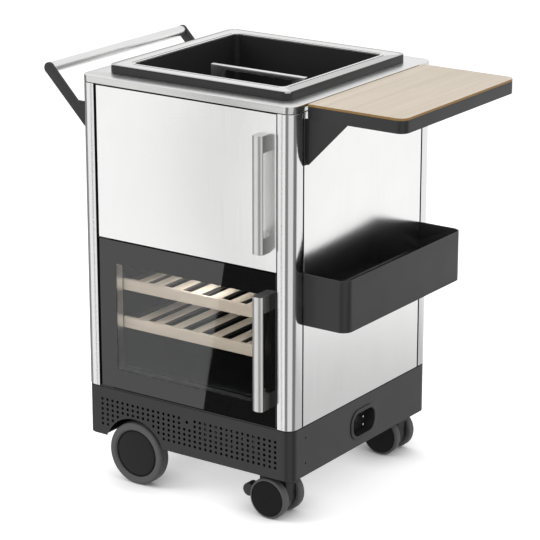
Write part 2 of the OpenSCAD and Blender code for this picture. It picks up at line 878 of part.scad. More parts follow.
// Upper edge of the divider's full-width part
function divider_body_top() = divider_top - grip_bar_h - grip_open_h;

// Divider: a panel across the basin with a bridge-shaped grip
module basin_divider() {
    body_w = basin_w - 2 * divider_play;
    foot = basin_floor + rest_gap;
    color([0.8, 0.8, 0.8]) translate([basin_x, basin_y - divider_forward, 0])
        rotate([90, 0, 0]) translate([0, 0, -divider_t / 2]) linear_extrude(divider_t) {
            difference() {
                union() {
                    translate([-body_w / 2, foot]) square([body_w, divider_body_top() - foot]);
                    translate([grip_right - grip_w / 2, divider_body_top() - past])
                        square([grip_w, divider_top - divider_body_top() + past]);
                }
                translate([grip_right - grip_w / 2 + grip_leg_w, divider_body_top()])
                    square([grip_w - 2 * grip_leg_w, grip_open_h]);
            }
        }
}

// Three hinge plates with their pins: under the worktop, between the doors, on the plinth
module hinge_plates() {
    plate_in = hinge_y - hinge_set + 1;
    mid_z = upper_door_z - split_gap / 2;
    color("silver") {
        span([-post_in_x, plate_in, worktop_under - hinge_plate_t],
             [-post_in_x + hinge_plate_w, frame_front, worktop_under]);
        translate([hinge_x, hinge_y, worktop_under - door_gap - hinge_pin_l])
            cylinder(d = hinge_pin_d, h = door_gap + hinge_pin_l - hinge_plate_t / 2);
        span([-post_in_x, plate_in, mid_z - hinge_plate_t / 2],
             [-post_in_x + hinge_plate_w, frame_front, mid_z + hinge_plate_t / 2]);
        translate([hinge_x, hinge_y, mid_z])
            cylinder(d = hinge_pin_d, h = split_gap + 2 * hinge_pin_l, center = true);
        span([-post_in_x, plate_in, plinth_top],
             [-post_in_x + hinge_plate_w, frame_front, plinth_top + hinge_plate_t]);
        translate([hinge_x, hinge_y, plinth_top + hinge_plate_t / 2])
            cylinder(d = hinge_pin_d, h = door_gap + hinge_pin_l - hinge_plate_t / 2);
    }
}

// Pin bores at the hinge axis of a door, from its lower and upper edge
module hinge_bores(z0, h, d) {
    for (z = [z0, z0 + h])
        translate([hinge_x, hinge_y, z])
            cylinder(d = d, h = 2 * (hinge_pin_l + 2), center = true);
}

// Plan of a door between two depths, its front edges rounded where it starts at the front
module door_plan(inset, y0, y1, r) {
    half = door_w / 2 - inset;
    intersection() {
        translate([-half, y0]) square([2 * half, y1 - y0]);
        union() {
            translate([-half + r, y0]) square([2 * (half - r), r]);
            translate([-half, y0 + r]) square([2 * half, y1 - y0]);
            for (i = [-1, 1]) translate([i * (half - r), y0 + r]) circle(r);
        }
    }
}

module upper_door_skin() {
    color([0.9, 0.9, 0.9]) difference() {
        translate([0, 0, upper_door_z]) linear_extrude(upper_door_h)
            door_plan(0, door_front, door_back, door_edge_r);
        translate([0, 0, upper_door_z + skin_t]) linear_extrude(upper_door_h - 2 * skin_t)
            door_plan(skin_t, door_front + skin_t, door_back + past, door_edge_r - skin_t);
        hinge_bores(upper_door_z, upper_door_h, hinge_pin_d + 2);
    }
}

module upper_door_core() {
    inset = skin_t + run_clear;
    color("whitesmoke") difference() {
        translate([0, 0, upper_door_z + inset]) linear_extrude(upper_door_h - 2 * inset)
            door_plan(inset, door_front + inset, door_back, door_edge_r - skin_t);
        hinge_bores(upper_door_z, upper_door_h, hinge_pin_d + 2 * run_clear);
    }
}

// Gasket on the back of a door
module gasket(z0, h) {
    out = door_w / 2 - gasket_edge;
    color([0.3, 0.3, 0.3]) difference() {
        span([-out, door_back, z0 + gasket_edge], [out, door_back + gasket_t, z0 + h - gasket_edge]);
        span([-out + gasket_w, door_back - past, z0 + gasket_edge + gasket_w],
             [out - gasket_w, door_back + gasket_t + past, z0 + h - gasket_edge - gasket_w]);
    }
}

module upper_door_gasket() {
    gasket(upper_door_z, upper_door_h);
}

module lower_door_gasket() {
    gasket(lower_door_z, lower_door_h);
}

// Door handle: grip bar with a block at each end
module door_handle(z0) {
    color([0.75, 0.75, 0.74]) translate([handle_x, door_front - handle_out, z0]) difference() {
        cube([handle_w, handle_out, handle_len]);
        span([-past, handle_bar_t, handle_block_h],
             [handle_w + past, handle_out + past, handle_len - handle_block_h]);
    }
}

module upper_door_handle() {
    door_handle(upper_handle_z);
}

module lower_door_handle() {
    door_handle(lower_handle_z);
}

module lower_door_frame() {
    color([0.1, 0.1, 0.1]) difference() {
        translate([0, 0, lower_door_z]) linear_extrude(lower_door_h)
            translate([-door_w / 2, door_front + glass_t]) square([door_w, door_t - glass_t]);
        span([-window_w / 2 - lining_t, door_front, window_z - lining_t],
             [window_w / 2 + lining_t, door_back + past, window_z + window_h + lining_t]);
        span([-window_w / 2 - glass_lap, door_back - inner_glass_t, window_z - glass_lap],
             [window_w / 2 + glass_lap, door_back + past, window_z + window_h + glass_lap]);
        hinge_bores(lower_door_z, lower_door_h, hinge_pin_d + 2 * run_clear);
    }
}

// Bright lining of the window between the two panes
module window_lining() {
    color("silver") difference() {
        span([-window_w / 2 - lining_t, door_front + glass_t, window_z - lining_t],
             [window_w / 2 + lining_t, door_back - inner_glass_t, window_z + window_h + lining_t]);
        span([-window_w / 2, door_front, window_z],
             [window_w / 2, door_back + past, window_z + window_h]);
    }
}

module lower_door_glass() {
    color([0.2, 0.2, 0.22, 0.5]) translate([0, 0, lower_door_z]) linear_extrude(lower_door_h)
        door_plan(0, door_front, door_front + glass_t, door_edge_r);
}

module lower_door_inner_glass() {
    lap = glass_lap - rest_gap;
    color([0.5, 0.55, 0.55, 0.4])
        span([-window_w / 2 - lap, door_back - inner_glass_t, window_z - lap],
             [window_w / 2 + lap, door_back, window_z + window_h + lap]);
}

// Wine shelf of pale wood: front rail, back rail, side members and slats
module wine_shelf(top) {
    back_rail_y = shelf_front + shelf_d - rail_d;
    outer = shelf_w / 2 - slat_end - slat_w / 2;
    middle = (slat_count - 1) / 2;
    color([0.84, 0.78, 0.68]) {
        span([-shelf_w / 2, shelf_front, top - rail_h], [shelf_w / 2, shelf_front + rail_d, top]);
        span([-shelf_w / 2, back_rail_y, top - slat_t - side_member_h],
             [shelf_w / 2, back_rail_y + rail_d, top]);
        for (i = [0, 1]) mirror([i, 0, 0])
            span([shelf_w / 2 - side_member_w, shelf_front + rail_d - past,
                  top - slat_t - side_member_h],
                 [shelf_w / 2, back_rail_y + past, top - slat_t + past]);
        for (k = [-middle : middle])
            translate([abs(k) == middle ? sign(k) * outer : k * slat_pitch, 0, 0])
                span([-slat_w / 2, shelf_front + rail_d - past, top - slat_t],
                     [slat_w / 2, back_rail_y + past, top]);
    }
}

module upper_wine_shelf() {
    wine_shelf(upper_shelf_z);
}

module lower_wine_shelf() {
    wine_shelf(lower_shelf_z);
}

// Pegs across the side grooves that carry the board and the tray
module hook_pegs() {
    color("silver")
        for (j = [-1, 1], z = [board_peg_z, tray_peg_z])
            translate([side_x - peg_set, j * tab_y, z]) rod_y(peg_d, groove_w);
}

// Fixing tab in the groove, hooked over a peg by a slot that slants down and inwards
module fixing_tab(j, z, x_out, t) {
    slot = peg_d + 2 * peg_play;
    color([0.16, 0.16, 0.17]) translate([0, j * tab_y + t / 2, 0]) rotate([90, 0, 0])
        linear_extrude(t) difference() {
            translate([side_x - tab_in, z - tab_h / 2]) square([x_out - side_x + tab_in, tab_h]);
            translate([side_x - peg_set, z]) rotate(45) translate([-2 * tab_in, -slot / 2])
                square([2 * tab_in + slot / 2, slot]);
        }
}

// Black folded frame under the side board: apron, top sheet, gussets, flanges and tabs
module board_frame() {
    in_x = side_x + wall_gap;
    gusset_low = apron_z - gusset;
    color([0.16, 0.16, 0.17]) {
        translate([0, 0, apron_z]) difference() {
            linear_extrude(apron_h) board_outline(0);
            translate([0, 0, -past]) linear_extrude(apron_h - apron_t + past)
                board_outline(apron_t);
        }
        for (j = [0, 1]) mirror([0, j, 0]) {
            translate([0, -board_len / 2 + apron_t, 0]) rotate([90, 0, 0])
                linear_extrude(apron_t)
                    polygon([[board_x, apron_z + past], [board_x + gusset, apron_z + past],
                             [board_x + gusset, apron_z], [board_x + 2, gusset_low],
                             [in_x, gusset_low], [in_x, apron_z + past]]);
            span([in_x, min(-tab_y - apron_t / 2, -board_len / 2), gusset_low],
                 [in_x + apron_t, max(-tab_y + apron_t / 2, -board_len / 2 + apron_t), apron_z]);
            fixing_tab(-1, board_peg_z, in_x + apron_t, apron_t);
        }
    }
}

// Outline of the board, rounded at its outer corners, drawn in by an inset on three sides
module board_outline(inset) {
    w = board_w - inset;
    half = board_len / 2 - inset;
    r = board_r - inset;
    translate([board_x, -half]) square([w - r, 2 * half]);
    translate([board_x, -half + r]) square([w, 2 * (half - r)]);
    for (j = [-1, 1]) translate([board_x + w - r, j * (half - r)]) circle(r);
}

module side_board() {
    color([0.85, 0.78, 0.66]) translate([0, 0, board_under])
        linear_extrude(board_t) board_outline(0);
}

// Outline of the tray, rounded at its outer corners, drawn in by an inset
module tray_outline(inset) {
    in_x = side_x + wall_gap;
    w = tray_out - inset;
    half = tray_half - inset;
    r = tray_r - inset;
    translate([in_x, -half]) square([w - r, 2 * half]);
    translate([in_x, -half + r]) square([w, 2 * (half - r)]);
    for (j = [-1, 1]) translate([in_x + w - r, j * (half - r)]) circle(r);
}

// Bottle tray: open above, with a low back wall and a tab at each end
module bottle_tray() {
    in_x = side_x + wall_gap;
    color([0.17, 0.17, 0.18]) {
        difference() {
            translate([0, 0, tray_z]) linear_extrude(tray_h) tray_outline(0);
            translate([0, 0, tray_z + tray_t]) linear_extrude(tray_h) difference() {
                tray_outline(tray_t);
                translate([in_x - past, -tray_half]) square([tray_t + past, 2 * tray_half]);
            }
            span([in_x - past, -tray_half + tray_t, tray_z + tray_back_h],
                 [in_x + tray_t + past, tray_half - tray_t, tray_z + tray_h + past]);
        }
        for (j = [-1, 1]) fixing_tab(j, tray_peg_z, in_x + past, tray_t);
    }
}

// Tangent point from point p to the circle at c with radius r; s picks the side
function tangent(p, c, r, s) =
    let (v = p - c, l = norm(v), a = atan2(v[1], v[0]), b = acos(r / l))
    c + r * [cos(a + s * b), sin(a + s * b)];

// Arms of the push handle
module push_arms() {
    end = [push_x, push_z];
    foot = [-side_x, arm_foot_z];
    bend = [-side_x - arm_bend, arm_top_z];
    color([0.2, 0.2, 0.21])
        for (j = [-1, 1])
            translate([0, j * arm_y + arm_t / 2, 0]) rotate([90, 0, 0]) linear_extrude(arm_t) {
                polygon([foot, [-side_x, arm_top_z], bend,
                         tangent(bend, end, arm_end_r - arm_blend, 1), end,
                         tangent(foot, end, arm_end_r - arm_blend, -1)]);
                translate(end) circle(arm_end_r);
            }
}

module push_bar() {
    l = 2 * arm_y - arm_t;
    color([0.82, 0.82, 0.81]) translate([push_x, 0, push_z]) difference() {
        rod_y(push_bar_d, l);
        rod_y(push_bar_d - 2 * push_bar_wall, l + 2 * past);
    }
}

// Outline of the power inlet, extruded along +X from x = 0
module inlet_outline(w, h, r, depth) {
    rotate([90, 0, 90]) linear_extrude(depth) round_rect(w, h, r);
}

// Power inlet: rim, recess and the plug seat in it
module inlet_bezel() {
    face = side_x - skirt_inset;
    in_w = inlet_w - 2 * inlet_rim;
    in_h = inlet_h - 2 * inlet_rim;
    wall = inlet_wall;
    color([0.1, 0.1, 0.1]) translate([0, inlet_y, inlet_z]) {
        difference() {
            union() {
                translate([face, 0, 0]) inlet_outline(inlet_w, inlet_h, inlet_r, inlet_proud);
                translate([face - inlet_depth - wall, 0, 0])
                    inlet_outline(in_w, in_h, inlet_r - inlet_rim, inlet_depth + wall + past);
            }
            translate([face - inlet_depth, 0, 0])
                inlet_outline(in_w - 2 * wall, in_h - 2 * wall, inlet_r - inlet_rim - wall,
                              inlet_depth + inlet_proud + past);
            for (k = [-1, 1])
                translate([face - inlet_depth - wall - past, inlet_pin_y, k * inlet_pin_pitch / 2])
                    rod_x(inlet_pin_d + 2 * run_clear, wall + 2 * past);
        }
    }
}

module inlet_pins() {
    face = side_x - skirt_inset;
    color("silver") translate([face - inlet_depth - inlet_pin_tail, inlet_y + inlet_pin_y, inlet_z])
        for (k = [-1, 1]) translate([0, 0, k * inlet_pin_pitch / 2])
            rod_x(inlet_pin_d, inlet_pin_tail + inlet_depth - inlet_pin_set);
}

// Compressor: shell on a foot plate
module compressor() {
    foot = compressor_d / 2 + compressor_foot_out;
    color([0.12, 0.12, 0.12]) translate([fan_x, compressor_y, pan_top]) {
        cylinder_z(compressor_d, compressor_foot_t - past / 2, compressor_foot_t + compressor_h);
        span([-foot, -foot, 0], [foot, foot, compressor_foot_t]);
    }
}

// Condenser: fins on two end plates and two pipes
module condenser() {
    pitch = condenser_w / (condenser_fins - 1);
    place_y = fan_y - fan_depth / 2 - condenser_gap - condenser_d;
    color("darkgray") translate([fan_x - condenser_w / 2, place_y, pan_top]) {
        for (k = [0 : condenser_fins - 1])
            translate([k * pitch - fin_t / 2, 0, 0]) cube([fin_t, condenser_d, fan_size]);
        for (z = [fan_size * 0.25, fan_size * 0.75])
            translate([-pipe_out, condenser_d / 2, z])
                rod_x(pipe_d, condenser_w + 2 * pipe_out);
    }
}

// Fan housing with a foot, a cross of spokes at the back and the rotor's pin
module fan_housing() {
    ring = fan_size - 6;
    spoke_w = 6;
    spoke_t = 4;
    foot_h = fan_z - fan_size / 2 - pan_top;
    color([0.1, 0.1, 0.1]) translate([fan_x, fan_y, fan_z]) rotate([90, 0, 0]) {
        translate([0, 0, -fan_depth / 2]) linear_extrude(fan_depth) difference() {
            square(fan_size, center = true);
            circle(d = ring);
        }
        translate([0, 0, -fan_depth / 2]) linear_extrude(spoke_t) {
            square([ring + 2, spoke_w], center = true);
            square([spoke_w, ring + 2], center = true);
        }
        translate([0, 0, -fan_depth / 2 + spoke_t / 2])
            cylinder(d = fan_pin_d, h = fan_depth / 2 - spoke_t / 2);
        translate([-fan_size * 0.4, -fan_size / 2 - foot_h, -fan_depth * 0.4])
            cube([fan_size * 0.8, foot_h + past, fan_depth * 0.8]);
    }
}

module fan_rotor() {
    blade_l = (fan_size - 10) / 2;
    depth = fan_depth - 9;
    color([0.25, 0.25, 0.26]) translate([fan_x, fan_y - 3.5, fan_z]) difference() {
        union() {
            rod_y(fan_hub_d, depth);
            for (k = [0 : fan_blades - 1]) rotate([0, k * 360 / fan_blades, 0])
                translate([blade_l / 2, 0, 0]) rotate([35, 0, 0])
                    cube([blade_l, depth * 0.9, 2], center = true);
        }
        rod_y(fan_pin_d + 2 * run_clear, depth + 2 * past);
    }
}

module control_box() {
    color([0.3, 0.3, 0.32]) translate([control_x, control_y, pan_top])
        cube([control_w, control_d, control_h]);
}

// Tyre of a large wheel; j is -1 at the front and 1 at the back
module tyre(j) {
    r_out = wheel_z;
    r_in = r_out - tyre_t;
    color([0.36, 0.36, 0.37]) translate([wheel_x, j * (wheel_out - wheel_w / 2), wheel_z])
        rotate([90, 0, 0]) rotate_extrude($fn = 96) difference() {
            translate([r_out - tyre_t / 2, 0]) round_rect(tyre_t, wheel_w, tyre_r);
            translate([r_in - past, -wheel_w / 2]) square([past, wheel_w]);
        }
}

// Hub of a large wheel, with a shallow cap face outside and a bore for the axle
module hub(j) {
    r = wheel_z - tyre_t - 0.1;
    w = wheel_w - 8;
    color([0.14, 0.14, 0.15]) translate([wheel_x, j * (wheel_out - wheel_w / 2), wheel_z])
        rotate([j * -90, 0, 0]) difference() {
            translate([0, 0, -w / 2]) cylinder(r = r, h = w, $fn = 96);
            translate([0, 0, -w / 2 - past])
                cylinder(d = axle_d + 2 * run_clear, h = w / 2 + wheel_w / 2 - axle_end + 2 + past);
            translate([0, 0, w / 2 - 1.5])
                difference() {
                    cylinder(r = r - 3, h = 3, $fn = 96);
                    cylinder(r = r - 5, h = 3, $fn = 96);
                }
        }
}

module front_wheel_tyre() {
    tyre(-1);
}

module front_wheel_hub() {
    hub(-1);
}

module back_wheel_tyre() {
    tyre(1);
}

module back_wheel_hub() {
    hub(1);
}

// Castor housing, drawn at the swivel axis with the wheel trailing towards +X
module castor_housing() {
    ear_w = castor_core_w;
    notch_x = castor_trail + pedal_pin_out - 14;
    color([0.15, 0.15, 0.16]) difference() {
        union() {
            rotate([90, 0, 0]) translate([0, 0, -ear_w / 2]) linear_extrude(ear_w) {
                translate([castor_trail, castor_z]) circle(housing_r, $fn = 64);
                translate([-stem_d, castor_z]) square([castor_trail + stem_d, housing_top - castor_z]);
                translate([castor_trail, castor_z + 10])
                    square([housing_r - 4, housing_top - castor_z - 14]);
            }
            cylinder_z(stem_collar_d, housing_top - past, ground_gap - rest_gap);
            cylinder_z(stem_d, housing_top, pan_top + 6);
            translate([castor_trail, 0, castor_z]) rod_y(castor_axle_d, castor_w - 10);
        }
        translate([notch_x, -pedal_w / 2 - castor_gap, castor_z - pedal_notch])
            cube([housing_r * 2, pedal_w + 2 * castor_gap, housing_r * 2]);
    }
    color([0.15, 0.15, 0.16])
        translate([castor_trail + pedal_pin_out, 0, pedal_pin_z])
            rod_y(pedal_pin_d, ear_w);
}

// Upright cylinder between two heights
module cylinder_z(d, z0, z1) {
    translate([0, 0, z0]) cylinder(d = d, h = z1 - z0);
}

// One castor wheel; side is -1 or 1 along Y
module castor_wheel(side) {
    r = castor_z;
    y = side * (castor_w / 2 - castor_wheel_w / 2);
    edge = 5;
    color([0.3, 0.3, 0.31]) translate([castor_trail, y, castor_z]) rotate([side * -90, 0, 0])
        difference() {
            rotate_extrude($fn = 72) intersection() {
                round_rect(2 * r, castor_wheel_w, edge);
                translate([0, -castor_wheel_w / 2]) square([r, castor_wheel_w]);
            }
            translate([0, 0, -castor_wheel_w / 2 - past])
                cylinder(d = castor_axle_d + 2 * run_clear, h = castor_wheel_w - 4 + past);
            translate([0, 0, castor_wheel_w / 2 - 1]) difference() {
                cylinder(r = r - 6, h = 2, $fn = 72);
                cylinder(r = r - 7.5, h = 2, $fn = 72);
            }
        }
}

// Brake pedal that slopes down from its pin to a round end
module castor_pedal() {
    hub_r = 8;
    pin = [castor_trail + pedal_pin_out, pedal_pin_z];
    tip = [castor_trail + castor_z + pedal_reach - pedal_tip_r, pedal_tip_z];
    color([0.2, 0.2, 0.21]) rotate([90, 0, 0]) translate([0, 0, -pedal_w / 2])
        linear_extrude(pedal_w) difference() {
            union() {
                translate(pin) circle(hub_r);
                translate(tip) circle(pedal_tip_r);
                translate(pin) rotate(atan2(tip[1] - pin[1], tip[0] - pin[0]))
                    translate([0, -pedal_arm_t / 2]) square([norm(tip - pin), pedal_arm_t]);
            }
            translate(pin) circle(d = pedal_pin_d + 2 * run_clear);
        }
}

// A castor at its corner, trailing left
module front_castor() {
    translate([castor_x, -castor_y, 0]) mirror([1, 0, 0]) children();
}

module back_castor() {
    translate([castor_x, castor_y, 0]) mirror([1, 0, 0]) children();
}

placed() chassis_pan();
placed() chassis_deck();
placed() plinth_skirt();
placed() wheel_axle();
placed() post(-1, -1);  // post_front_left
placed() post(1, -1);  // post_front_right
placed() post(-1, 1);  // post_rear_left
placed() post(1, 1);  // post_rear_right
placed() side_panel_left();
placed() side_panel_right();
placed() back_panel();
placed() insulation();
placed() front_frame();
placed() upper_liner();
placed() lower_liner();
placed() shelf_runners();
placed() worktop();
placed() basin_collar();
placed() basin_flange();
placed() basin_tub();
placed() basin_drain();
placed() basin_divider();
placed() hinge_plates();
placed() push_arms();
placed() push_bar();
placed() hook_pegs();
placed() inlet_bezel();
placed() inlet_pins();
placed() compressor();
placed() condenser();
placed() fan_housing();
placed() fan_rotor();
placed() control_box();
placed() upper_door_skin();
placed() upper_door_core();
placed() upper_door_gasket();
placed() upper_door_handle();
placed() lower_door_frame();
placed() window_lining();
placed() lower_door_glass();
placed() lower_door_inner_glass();
placed() lower_door_gasket();
placed() lower_door_handle();
placed() upper_wine_shelf();
placed() lower_wine_shelf();
placed() board_frame();
placed() side_board();
placed() bottle_tray();
placed() front_wheel_tyre();
placed() front_wheel_hub();
placed() back_wheel_tyre();
placed() back_wheel_hub();
placed() front_castor() castor_housing();  // front_castor_housing
placed() front_castor() castor_wheel(-1);  // front_castor_outer_wheel
placed() front_castor() castor_wheel(1);  // front_castor_inner_wheel
placed() front_castor() castor_pedal();  // front_castor_pedal
placed() back_castor() castor_housing();  // back_castor_housing
placed() back_castor() castor_wheel(1);  // back_castor_outer_wheel
placed() back_castor() castor_wheel(-1);  // back_castor_inner_wheel
placed() back_castor() castor_pedal();  // back_castor_pedal
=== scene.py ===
"""Dresses the mobile bar cart: materials, softened edges, turned wheels and the stage."""
import math

import bpy
from bpy.props import FloatProperty, FloatVectorProperty, IntProperty, PointerProperty
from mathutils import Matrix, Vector


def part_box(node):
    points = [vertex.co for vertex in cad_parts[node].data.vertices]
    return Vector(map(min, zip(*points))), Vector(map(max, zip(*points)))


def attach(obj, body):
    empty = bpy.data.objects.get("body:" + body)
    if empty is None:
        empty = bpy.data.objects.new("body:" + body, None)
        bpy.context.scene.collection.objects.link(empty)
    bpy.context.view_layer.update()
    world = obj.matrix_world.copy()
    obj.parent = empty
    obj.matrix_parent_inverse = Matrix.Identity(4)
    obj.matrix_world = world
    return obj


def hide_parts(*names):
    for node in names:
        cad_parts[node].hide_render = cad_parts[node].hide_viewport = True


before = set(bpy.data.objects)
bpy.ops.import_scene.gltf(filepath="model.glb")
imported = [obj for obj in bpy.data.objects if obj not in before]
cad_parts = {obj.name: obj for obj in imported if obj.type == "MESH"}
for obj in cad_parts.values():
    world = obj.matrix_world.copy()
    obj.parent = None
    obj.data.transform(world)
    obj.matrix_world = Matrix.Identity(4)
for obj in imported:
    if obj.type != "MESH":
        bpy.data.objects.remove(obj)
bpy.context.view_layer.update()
CAD_MIDDLE = sum(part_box("chassis_deck"), Vector()) / 2.0

bl_info = {
    "name": "Mobile bar cart",
    "version": (1, 0, 0),
    "blender": (4, 5, 0),
    "location": "View3D > Sidebar > Bar cart",
    "description": "Builds the looks of a mobile bar cart round its packed frame",
    "category": "Object",
}

# The studio that glossy rays see: windows and walls as (from, to, level), in degrees of
# bearing from -Y through +X to +Y. They lean a little, and stand upright at one height.
STUDIO_BANDS = (
    (-180.0, -146.0, 1.0), (-144.0, -69.0, 0.28), (-66.0, -8.0, 1.0), (-6.0, 23.0, 0.24),
    (25.0, 76.0, 0.82), (78.0, 114.0, 0.2), (122.0, 180.0, 1.0),
)
BAND_LEAN = -0.16
UPRIGHT_BELOW = 19.0
# A dark screen among them, whose edge shows in the door's glass
SCREEN_BEARING = -34.98
SCREEN_HALF_WIDTH = 1.15
SCREEN_DARK = 0.94
SKY_TONE = (0.85, 0.85, 0.85, 1.0)
AMBIENT_TONE = (0.55, 0.55, 0.55, 1.0)
# The floor's glow, and how far and how deeply a near piece shades it
FLOOR_GLOW = 0.56
SHADE_REACH = 0.11
SHADE_DEPTH = 1.6
# A ring this wide closes a turned face at its axis
AXIS = 0.0003


# Sizes and colours that a user would change


def size_field(name, text, value, low, high):
    return FloatProperty(
        name=name, description=text, default=value, min=low, max=high, unit="LENGTH", precision=4
    )


def colour_field(name, text, value):
    return FloatVectorProperty(
        name=name, description=text, default=value, size=3, min=0.0, max=1.0, subtype="COLOR"
    )


class CartSizes(bpy.types.PropertyGroup):
    sheet_edge: size_field("Sheet edge", "Rounding on folded sheet edges", 0.0006, 0.0001, 0.003)
    panel_edge: size_field("Panel edge", "Rounding on doors and the worktop", 0.0012, 0.0002, 0.004)
    wood_edge: size_field("Wood edge", "Rounding on slats and the board", 0.0014, 0.0002, 0.004)
    moulded_edge: size_field("Moulded edge", "Rounding on moulded plastic", 0.0016, 0.0002, 0.004)
    rail: size_field("Rail", "Depth of a wine shelf's front rail", 0.0085, 0.006, 0.02)
    lining: size_field("Lining", "Thickness of the window's metal lining", 0.0015, 0.0005, 0.003)
    flange_rim: size_field("Flange rim", "Black rim round the basin's flange", 0.0022, 0.001, 0.006)
    flange_lip: size_field("Flange lip", "Width of the flange's inner lip", 0.007, 0.003, 0.012)
    # Width of the flange's flat strip of painted groove shade
    flange_groove_shade: size_field("Flange groove", "Width of the lip's groove", 0.0028, 0.001, 0.005)
    flange_width: size_field("Flange width", "Flange from its rim to the basin", 0.042, 0.02, 0.06)
    handle_crown: size_field("Handle crown", "Height of a grip bar's curve", 0.0055, 0.001, 0.008)
    handle_bar: size_field("Handle bar", "Thickness of a grip bar", 0.009, 0.006, 0.012)
    handle_block: size_field("Handle block", "Height of a handle's end block", 0.039, 0.02, 0.05)
    edge_steps: IntProperty(
        name="Edge steps", description="Segments in an edge", default=3, min=1, max=6
    )
    wheel_steps: IntProperty(
        name="Wheel steps", description="Segments round a wheel", default=96, min=24, max=192
    )


class CartColours(bpy.types.PropertyGroup):
    panel: colour_field("Panels", "Brushed steel of the doors and sides", (0.94, 0.94, 0.935))
    post: colour_field("Posts", "Brushed steel of the posts", (0.82, 0.82, 0.82))
    handle: colour_field("Handles", "Satin steel of the handles", (0.74, 0.74, 0.73))
    black: colour_field("Black coat", "Powder coat on the folded sheet", (0.016, 0.016, 0.017))
    plastic: colour_field("Black plastic", "Moulded black plastic", (0.014, 0.014, 0.015))
    rubber: colour_field("Tyres", "Grey rubber of the wheels", (0.085, 0.085, 0.087))
    slat: colour_field("Shelf wood", "Pale wood of the wine shelves", (0.64, 0.54, 0.43))
    board: colour_field("Board top", "Pale top of the side board", (0.52, 0.455, 0.375))
    board_edge: colour_field("Board edge", "Bare edge of the side board", (0.27, 0.16, 0.055))


def sizes():
    return bpy.context.scene.cart_sizes


def colours():
    return bpy.context.scene.cart_colours


# Working on meshes


def only(*objects):
    """Selects these objects alone and makes the first one active."""
    if bpy.context.object and bpy.context.object.mode != "OBJECT":
        bpy.ops.object.mode_set(mode="OBJECT")
    bpy.ops.object.select_all(action="DESELECT")
    for item in objects:
        item.select_set(True)
    bpy.context.view_layer.objects.active = objects[0]


def bake_place(piece):
    """Moves a piece's place and turn into its mesh."""
    only(piece)
    bpy.ops.object.transform_apply(location=True, rotation=True, scale=True)


def smooth(piece, angle=35.0):
    only(piece)
    bpy.ops.object.shade_smooth_by_angle(angle=math.radians(angle))


def apply_modifier(piece, kind, **settings):
    only(piece)
    modifier = piece.modifiers.new(kind.title(), kind)
    for key, value in settings.items():
        setattr(modifier, key, value)
    bpy.ops.object.modifier_apply(modifier=modifier.name)


def merged_copy(node, name, joined=True):
    """A copy of a CAD node's mesh, merged and, unless it has slots, with its flat faces joined."""
    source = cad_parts[node]
    piece = bpy.data.objects.new(name, source.data.copy())
    bpy.context.scene.collection.objects.link(piece)
    piece.data.materials.clear()
    only(piece)
    bpy.ops.object.mode_set(mode="EDIT")
    bpy.ops.mesh.select_all(action="SELECT")
    bpy.ops.mesh.remove_doubles(threshold=0.00001)
    if joined:
        bpy.ops.mesh.dissolve_limited(angle_limit=math.radians(0.5))
    bpy.ops.object.mode_set(mode="OBJECT")
    return piece


def softened(node, name, width, angle=30.0, joined=True):
    """A merged copy of a CAD node whose edges are rounded, so that they catch the light."""
    piece = merged_copy(node, name, joined)
    apply_modifier(
        piece,
        "BEVEL",
        width=width,
        segments=sizes().edge_steps,
        limit_method="ANGLE",
        angle_limit=math.radians(angle),
        harden_normals=False,
        use_clamp_overlap=True,
        miter_outer="MITER_ARC",
    )
    smooth(piece)
    return piece


def dress(piece, body, slot, finish, *nodes):
    """Gives a finished piece its body, its material and the nodes it stands for; its slot is not
    used.
    """
    piece.data.materials.clear()
    piece.data.materials.append(finish)
    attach(piece, body)
    if nodes:
        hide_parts(*nodes)
    return piece


def paint_node(node, finish):
    """Gives a CAD node that stays as it is a better material."""
    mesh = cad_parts[node].data
    mesh.materials.clear()
    mesh.materials.append(finish)


def repaint(piece, finish, chosen):
    """Gives a second finish to the faces that chosen(centre, normal) picks."""
    piece.data.materials.append(finish)
    index = len(piece.data.materials) - 1
    for face in piece.data.polygons:
        if chosen(face.center, face.normal):
            face.material_index = index
    return piece


def combined(piece, other, operation):
    """Joins, cuts or intersects a piece with another one, which is used up."""
    apply_modifier(piece, "BOOLEAN", object=other, operation=operation, solver="EXACT")
    bpy.data.objects.remove(other)
    return piece


def turned(name, rings, steps, closed=False):
    """Turns a solid round Z from (radius, height) rings, extruding a circle ring by ring."""
    radius, height = rings[0]
    bpy.ops.object.select_all(action="DESELECT")
    bpy.ops.mesh.primitive_circle_add(
        vertices=steps, radius=radius, fill_type="NOTHING" if closed else "NGON",
        location=(0.0, 0.0, 0.0), enter_editmode=True,
    )
    piece = bpy.context.object
    piece.name = name
    bpy.ops.mesh.select_all(action="SELECT")
    bpy.ops.transform.translate(value=(0.0, 0.0, height))
    for next_radius, next_height in rings[1:] + (rings[:1] if closed else []):
        bpy.ops.mesh.extrude_region_move(
            TRANSFORM_OT_translate={"value": (0.0, 0.0, next_height - height)}
        )
        ratio = next_radius / radius
        bpy.ops.transform.resize(value=(ratio, ratio, 1.0))
        radius, height = next_radius, next_height
    bpy.ops.mesh.select_all(action="SELECT")
    bpy.ops.mesh.remove_doubles(threshold=0.000005)
    bpy.ops.mesh.normals_make_consistent(inside=False)
    bpy.ops.object.mode_set(mode="OBJECT")
    return piece


def tread_corner(radius, half, corner, steps):
    """Rings round a tyre's lower rounded corner, without the corner's two ends."""
    angles = [math.radians(90.0 * step / steps) for step in range(1, steps)]
    return [(radius - corner + corner * math.sin(angle), -half + corner - corner * math.cos(angle))
            for angle in angles]


def mirrored(rings):
    """The same rings at the other end, in the order in which they come there."""
    return [(radius, -height) for radius, height in reversed(rings)]


def lay_along_y(piece, centre, side):
    """Turns a piece made round Z so that its +Z points to side * Y, and moves it to centre."""
    only(piece)
    piece.rotation_euler = (math.radians(-90.0 * side), 0.0, 0.0)
    piece.location = centre
    bake_place(piece)
    return piece


